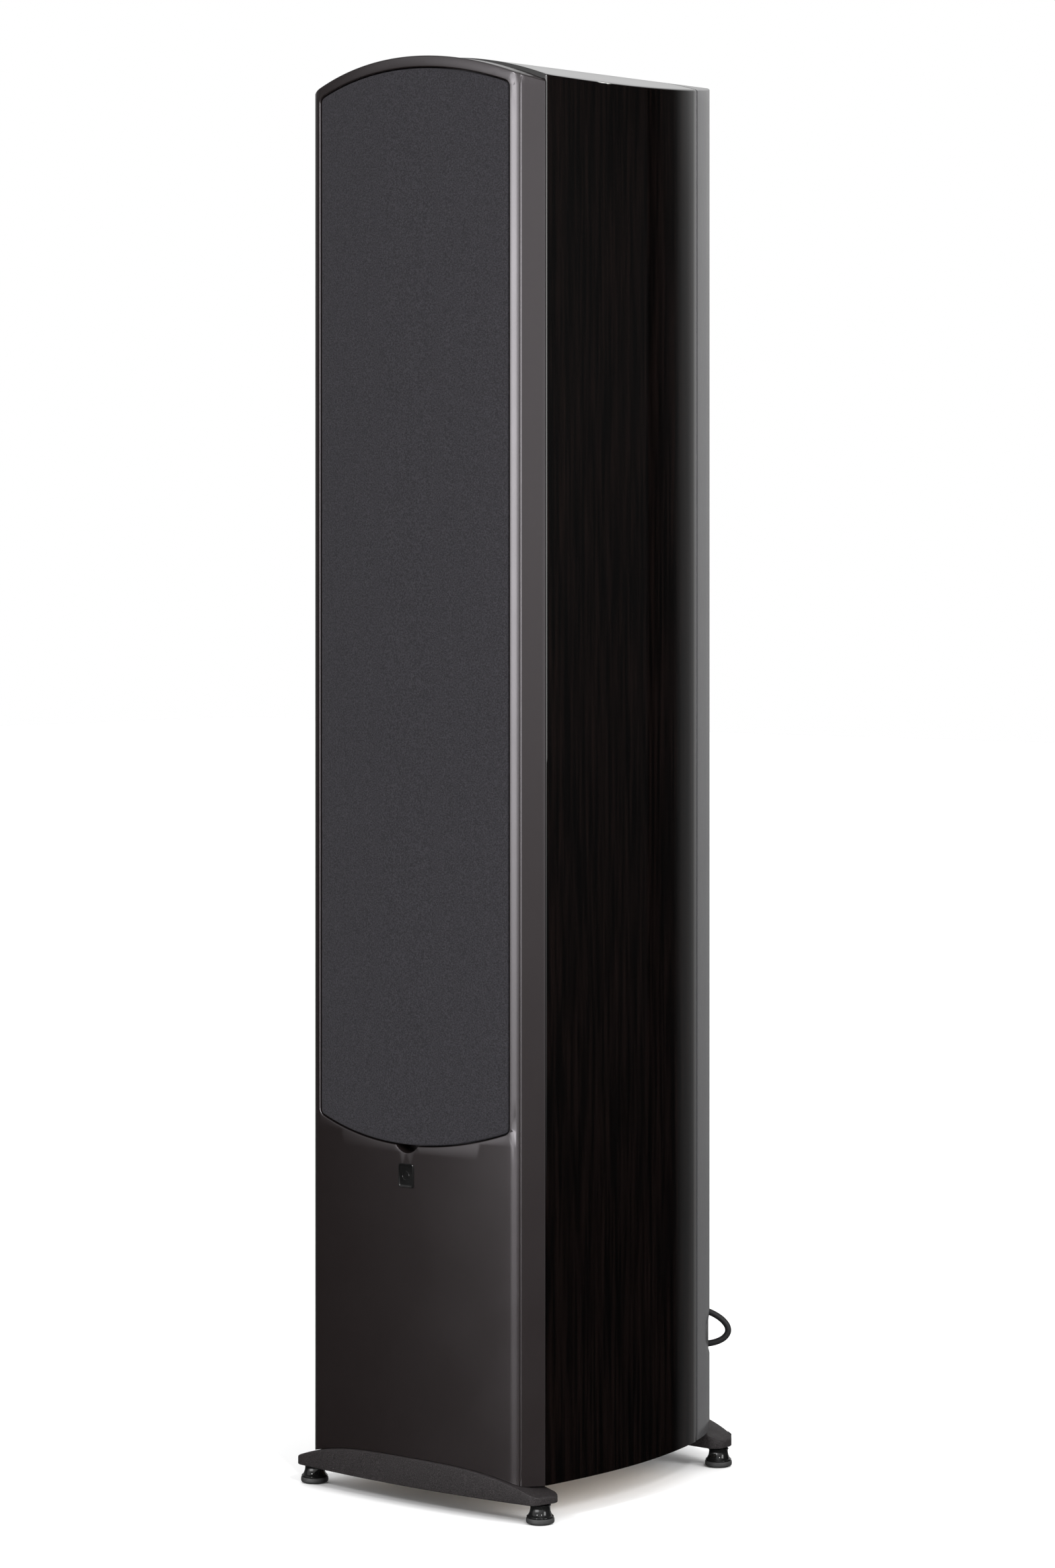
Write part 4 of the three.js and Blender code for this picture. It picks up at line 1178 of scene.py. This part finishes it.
def smooth_route(points, per_span=24, step=0.22):
    """A centripetal Catmull-Rom curve through the points, at even steps, and its length."""
    points = [np.array(p, float) for p in points]
    points = [2 * points[0] - points[1]] + points + [2 * points[-1] - points[-2]]
    out = []
    for span in zip(points, points[1:], points[2:], points[3:]):
        t = [0.0]
        for a, b in zip(span, span[1:]):
            t.append(t[-1] + np.linalg.norm(b - a) ** 0.5)
        for k in range(per_span):
            s = between(t[1], t[2], 0, per_span, k)
            first = [between(span[i], span[i + 1], t[i], t[i + 1], s) for i in range(3)]
            second = [between(first[i], first[i + 1], t[i], t[i + 2], s) for i in range(2)]
            out.append(between(*second, t[1], t[2], s))
    out.append(points[-2])
    out = np.array(out)
    run = np.concatenate([[0], np.cumsum(np.linalg.norm(np.diff(out, axis=0), axis=1))])
    even = np.linspace(0, run[-1], int(run[-1] / step))
    return np.stack([np.interp(even, run, out[:, k]) for k in range(3)], 1), run[-1]


def strand_crown(v):
    """How high a strand stands at a place across it, which repeats with every strand."""
    return np.sqrt(np.maximum(0, 1 - (2 * np.mod(v, 1) - 1) ** 2))


def jumper(side):
    """A braided cable whose strands cross over and under each other in relief."""
    name = "jumper_right" if side > 0 else "jumper_left"
    path, length = smooth_route([(side * x, y, z) for x, y, z in JUMPER_ROUTE])
    ahead = np.gradient(path, axis=0)
    ahead /= np.linalg.norm(ahead, axis=1)[:, None]
    inward = path.mean(0) - path
    inward -= np.sum(inward * ahead, 1)[:, None] * ahead
    inward /= np.linalg.norm(inward, axis=1)[:, None]
    sideways = np.cross(ahead, inward)
    angle = angles_round(56)[None, :]
    run = np.linspace(0, length, len(path))[:, None]
    one = BRAID_STRANDS * (angle / (2 * math.pi) + run / BRAID_LAY)
    other = BRAID_STRANDS * (angle / (2 * math.pi) - run / BRAID_LAY)
    over = np.cos(math.pi * (np.floor(one) + np.floor(other))) > 0
    height = np.where(over, strand_crown(one), strand_crown(other))
    radius = JUMPER_DIAMETER / 2 - 0.16 + 0.2 * height
    around = np.cos(angle)[..., None] * inward[:, None, :] + np.sin(angle)[..., None] * sideways[:, None, :]
    rows = path[:, None, :] + radius[:, :, None] * around
    mesh = Mesh()
    mesh.grid(rows, loop=True)
    mesh.cap(rows[0])
    mesh.cap(rows[-1])
    cable = mesh.piece(name + "_braid", BRAID, replaces=[name], slot="braided_sleeve", sharp=80)
    # The strand heights go to the braid material, which paints the crowns paler as a painted highlight.
    shade = cable.data.attributes.new("strand", "FLOAT", "POINT")
    shade.data.foreach_set("value", height.astype(np.float32).ravel()[: len(cable.data.vertices)])


# ---- Carried-over nodes: inside the cabinet, each with its own finish ----
CARRIED = {
    "bottom_panel": BOARD, "brace_lower": BOARD, "brace_upper": BOARD, "crossover_board": CIRCUIT,
    "crossover_inductor": COPPER, "crossover_capacitor": SLEEVE, "tweeter_motor": MOTOR,
    **{name + "_motor": MOTOR for name in DRIVERS},
}


def carried_nodes():
    for name, material in CARRIED.items():
        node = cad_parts[name]
        node.data.materials.clear()
        node.data.materials.append(material)


# ---- Floor and light ----
FLOOR_HALF = 12


def floor():
    data = bpy.data.meshes.new("floor")
    corners = [(x * FLOOR_HALF, y * FLOOR_HALF, 0) for x, y in ((-1, -1), (1, -1), (1, 1), (-1, 1))]
    data.from_pydata(corners, [], [(0, 1, 2, 3)])
    plane = link(bpy.data.objects.new("floor", data))
    data.materials.append(satin("floor_paper", (0.86, 0.86, 0.86), (0.87, 0.87, 0.87), 0.9, 0.0))
    plane.visible_glossy = False


def softbox(name, place, aim, size, power):
    light = bpy.data.lights.new(name, "AREA")
    light.shape, light.size, light.size_y = "RECTANGLE", *size
    light.energy = power
    lamp = link(bpy.data.objects.new(name, light))
    lamp.location = place
    lamp.rotation_euler = (Vector(aim) - Vector(place)).to_track_quat("-Z", "Y").to_euler()
    lamp.visible_camera = False


# The studio as the gloss and satin surfaces reflect it: (plan angle in degrees from +X toward +Y, level)
# low down, just above the horizon and high up.
LOW_RING = [
    (-180, 0.02), (-150, 0), (76, 0), (82, 0.1), (90, 0.38), (108, 0.25), (125, 0.18), (150, 0.12),
    (180, 0.02),
]
MIDDLE_RING = [
    (-180, 0.1), (-150, 0.1), (-132, 1), (-114, 4), (-98, 17.8), (-76, 17.8), (-62, 5), (-45, 2.6), (-22, 2),
    (0, 0.8), (20, 0.08), (64.5, 0.04), (66, 0), (76, 0.02), (82, 0.18), (90, 0.85), (108, 0.5), (125, 0.3),
    (150, 0.25), (180, 0.1),
]
HIGH_RING = [
    (-180, 0.3), (-150, 0.15), (-130, 1.6), (-98, 1.6), (-78, 1.6), (-45, 1.7), (-22, 1.2), (0, 0.8),
    (30, 0.05), (66, 0), (76, 0.03), (90, 1.3), (108, 1.1), (125, 0.95), (150, 0.8), (180, 0.3),
]
RING_HEIGHTS = (-0.145, 0.04, 0.3)
LEVEL_TOP = 25
DIFFUSE_LEVEL = 1.25
WHITE = (1, 1, 1, 1)


def ring(tree, around, stops):
    """The level at one height, as a ramp of the plan angle (0 to 1 for -180 to 180 degrees)."""
    node = add(tree, "ShaderNodeValToRGB", {"Fac": around})
    ramp = node.color_ramp
    while len(ramp.elements) < len(stops):
        ramp.elements.new(0.5)
    for element, (degrees, level) in zip(ramp.elements, stops):
        element.position = degrees / 360 + 0.5
        element.color = (*[level / LEVEL_TOP] * 3, 1)
    ramp.interpolation = "EASE"
    return node.outputs["Color"]


def surroundings():
    """White to the camera and to matt surfaces; a studio of soft panels to whatever mirrors it."""
    world = bpy.data.worlds.new("studio")
    bpy.context.scene.world = world
    world.use_nodes = True
    tree = world.node_tree
    tree.nodes.clear()
    toward = add(tree, "ShaderNodeTexCoord").outputs["Generated"]
    axes = add(tree, "ShaderNodeSeparateXYZ", {"Vector": toward}).outputs
    angle = reckon(tree, "ARCTAN2", axes["Y"], axes["X"])
    around = shift(tree, angle, -math.pi, math.pi, 0, 1)
    low, middle, high = (ring(tree, around, stops) for stops in (LOW_RING, MIDDLE_RING, HIGH_RING))
    lower = shift(tree, axes["Z"], RING_HEIGHTS[0], RING_HEIGHTS[1], 0, 1)
    upper = shift(tree, axes["Z"], RING_HEIGHTS[1], RING_HEIGHTS[2], 0, 1)
    panels = mixed(tree, upper, mixed(tree, lower, low, middle), high)
    white, soft, mirrored = (
        add(tree, "ShaderNodeBackground", {"Color": color, "Strength": strength}).outputs[0]
        for color, strength in ((WHITE, 1.0), (WHITE, DIFFUSE_LEVEL), (panels, LEVEL_TOP)))
    rays = add(tree, "ShaderNodeLightPath").outputs
    matt = blend_by(tree, rays["Is Glossy Ray"], soft, mirrored)
    seen = blend_by(tree, rays["Is Camera Ray"], matt, white)
    output = add(tree, "ShaderNodeOutputWorld")
    tree.links.new(seen, output.inputs["Surface"])
    bpy.context.scene.view_settings.view_transform = "Standard"


def blend_by(tree, factor, one, other):
    node = add(tree, "ShaderNodeMixShader")
    for socket, value in zip(node.inputs, (factor, one, other)):
        tree.links.new(value, socket)
    return node.outputs[0]


def around_object(degrees, distance, height):
    angle = math.radians(degrees)
    return distance * math.cos(angle), distance * math.sin(angle), height


WINDOW_DISTANCE, WINDOW_HEIGHT, WINDOW_SIZE, WINDOW_POWER = 3, 2.3, (0.22, 0.5), 40


def lights():
    for name, degrees in (("window_left", -83), ("window_right", -35)):
        place = around_object(degrees, WINDOW_DISTANCE, WINDOW_HEIGHT)
        softbox(name, place, (0, 0, 0.1), WINDOW_SIZE, WINDOW_POWER)
    softbox("side_fill", (2.6, 0.0, 1.2), (0, 0, 0.3), (0.9, 1.6), 55)
    softbox("edge_glint", (0.39, 1.47, 2.34), (0.12, -0.07, 1.1), (0.06, 0.06), 1.5)


shell()
baffle()
rear()
# Dark bands deep in the gaps at the shell's two ends; their darkness is painted shade.
gap_shade_band("rear_gap_shade_band", SHELL_BACK + 0.1, REAR_START - 0.1, 3)
gap_shade_band("front_gap_shade_band", BAFFLE_BACK + 0.1, SHELL_FRONT - 0.1, 6)
outrigger("outrigger_front", FRONT_ARM, ["foot_pad_front_left", "foot_pad_front_right"])
outrigger("outrigger_rear", REAR_ARM, ["foot_pad_rear_left", "foot_pad_rear_right"])
feet()
badge()
grille()
for driver_name, kind in DRIVERS.items():
    driver(driver_name, SIZES[kind])
tweeter()
terminal_cup()
posts()
for port_node in PORTS:
    port(port_node)
jumper(1)
jumper(-1)
carried_nodes()
floor()
surroundings()
lights()
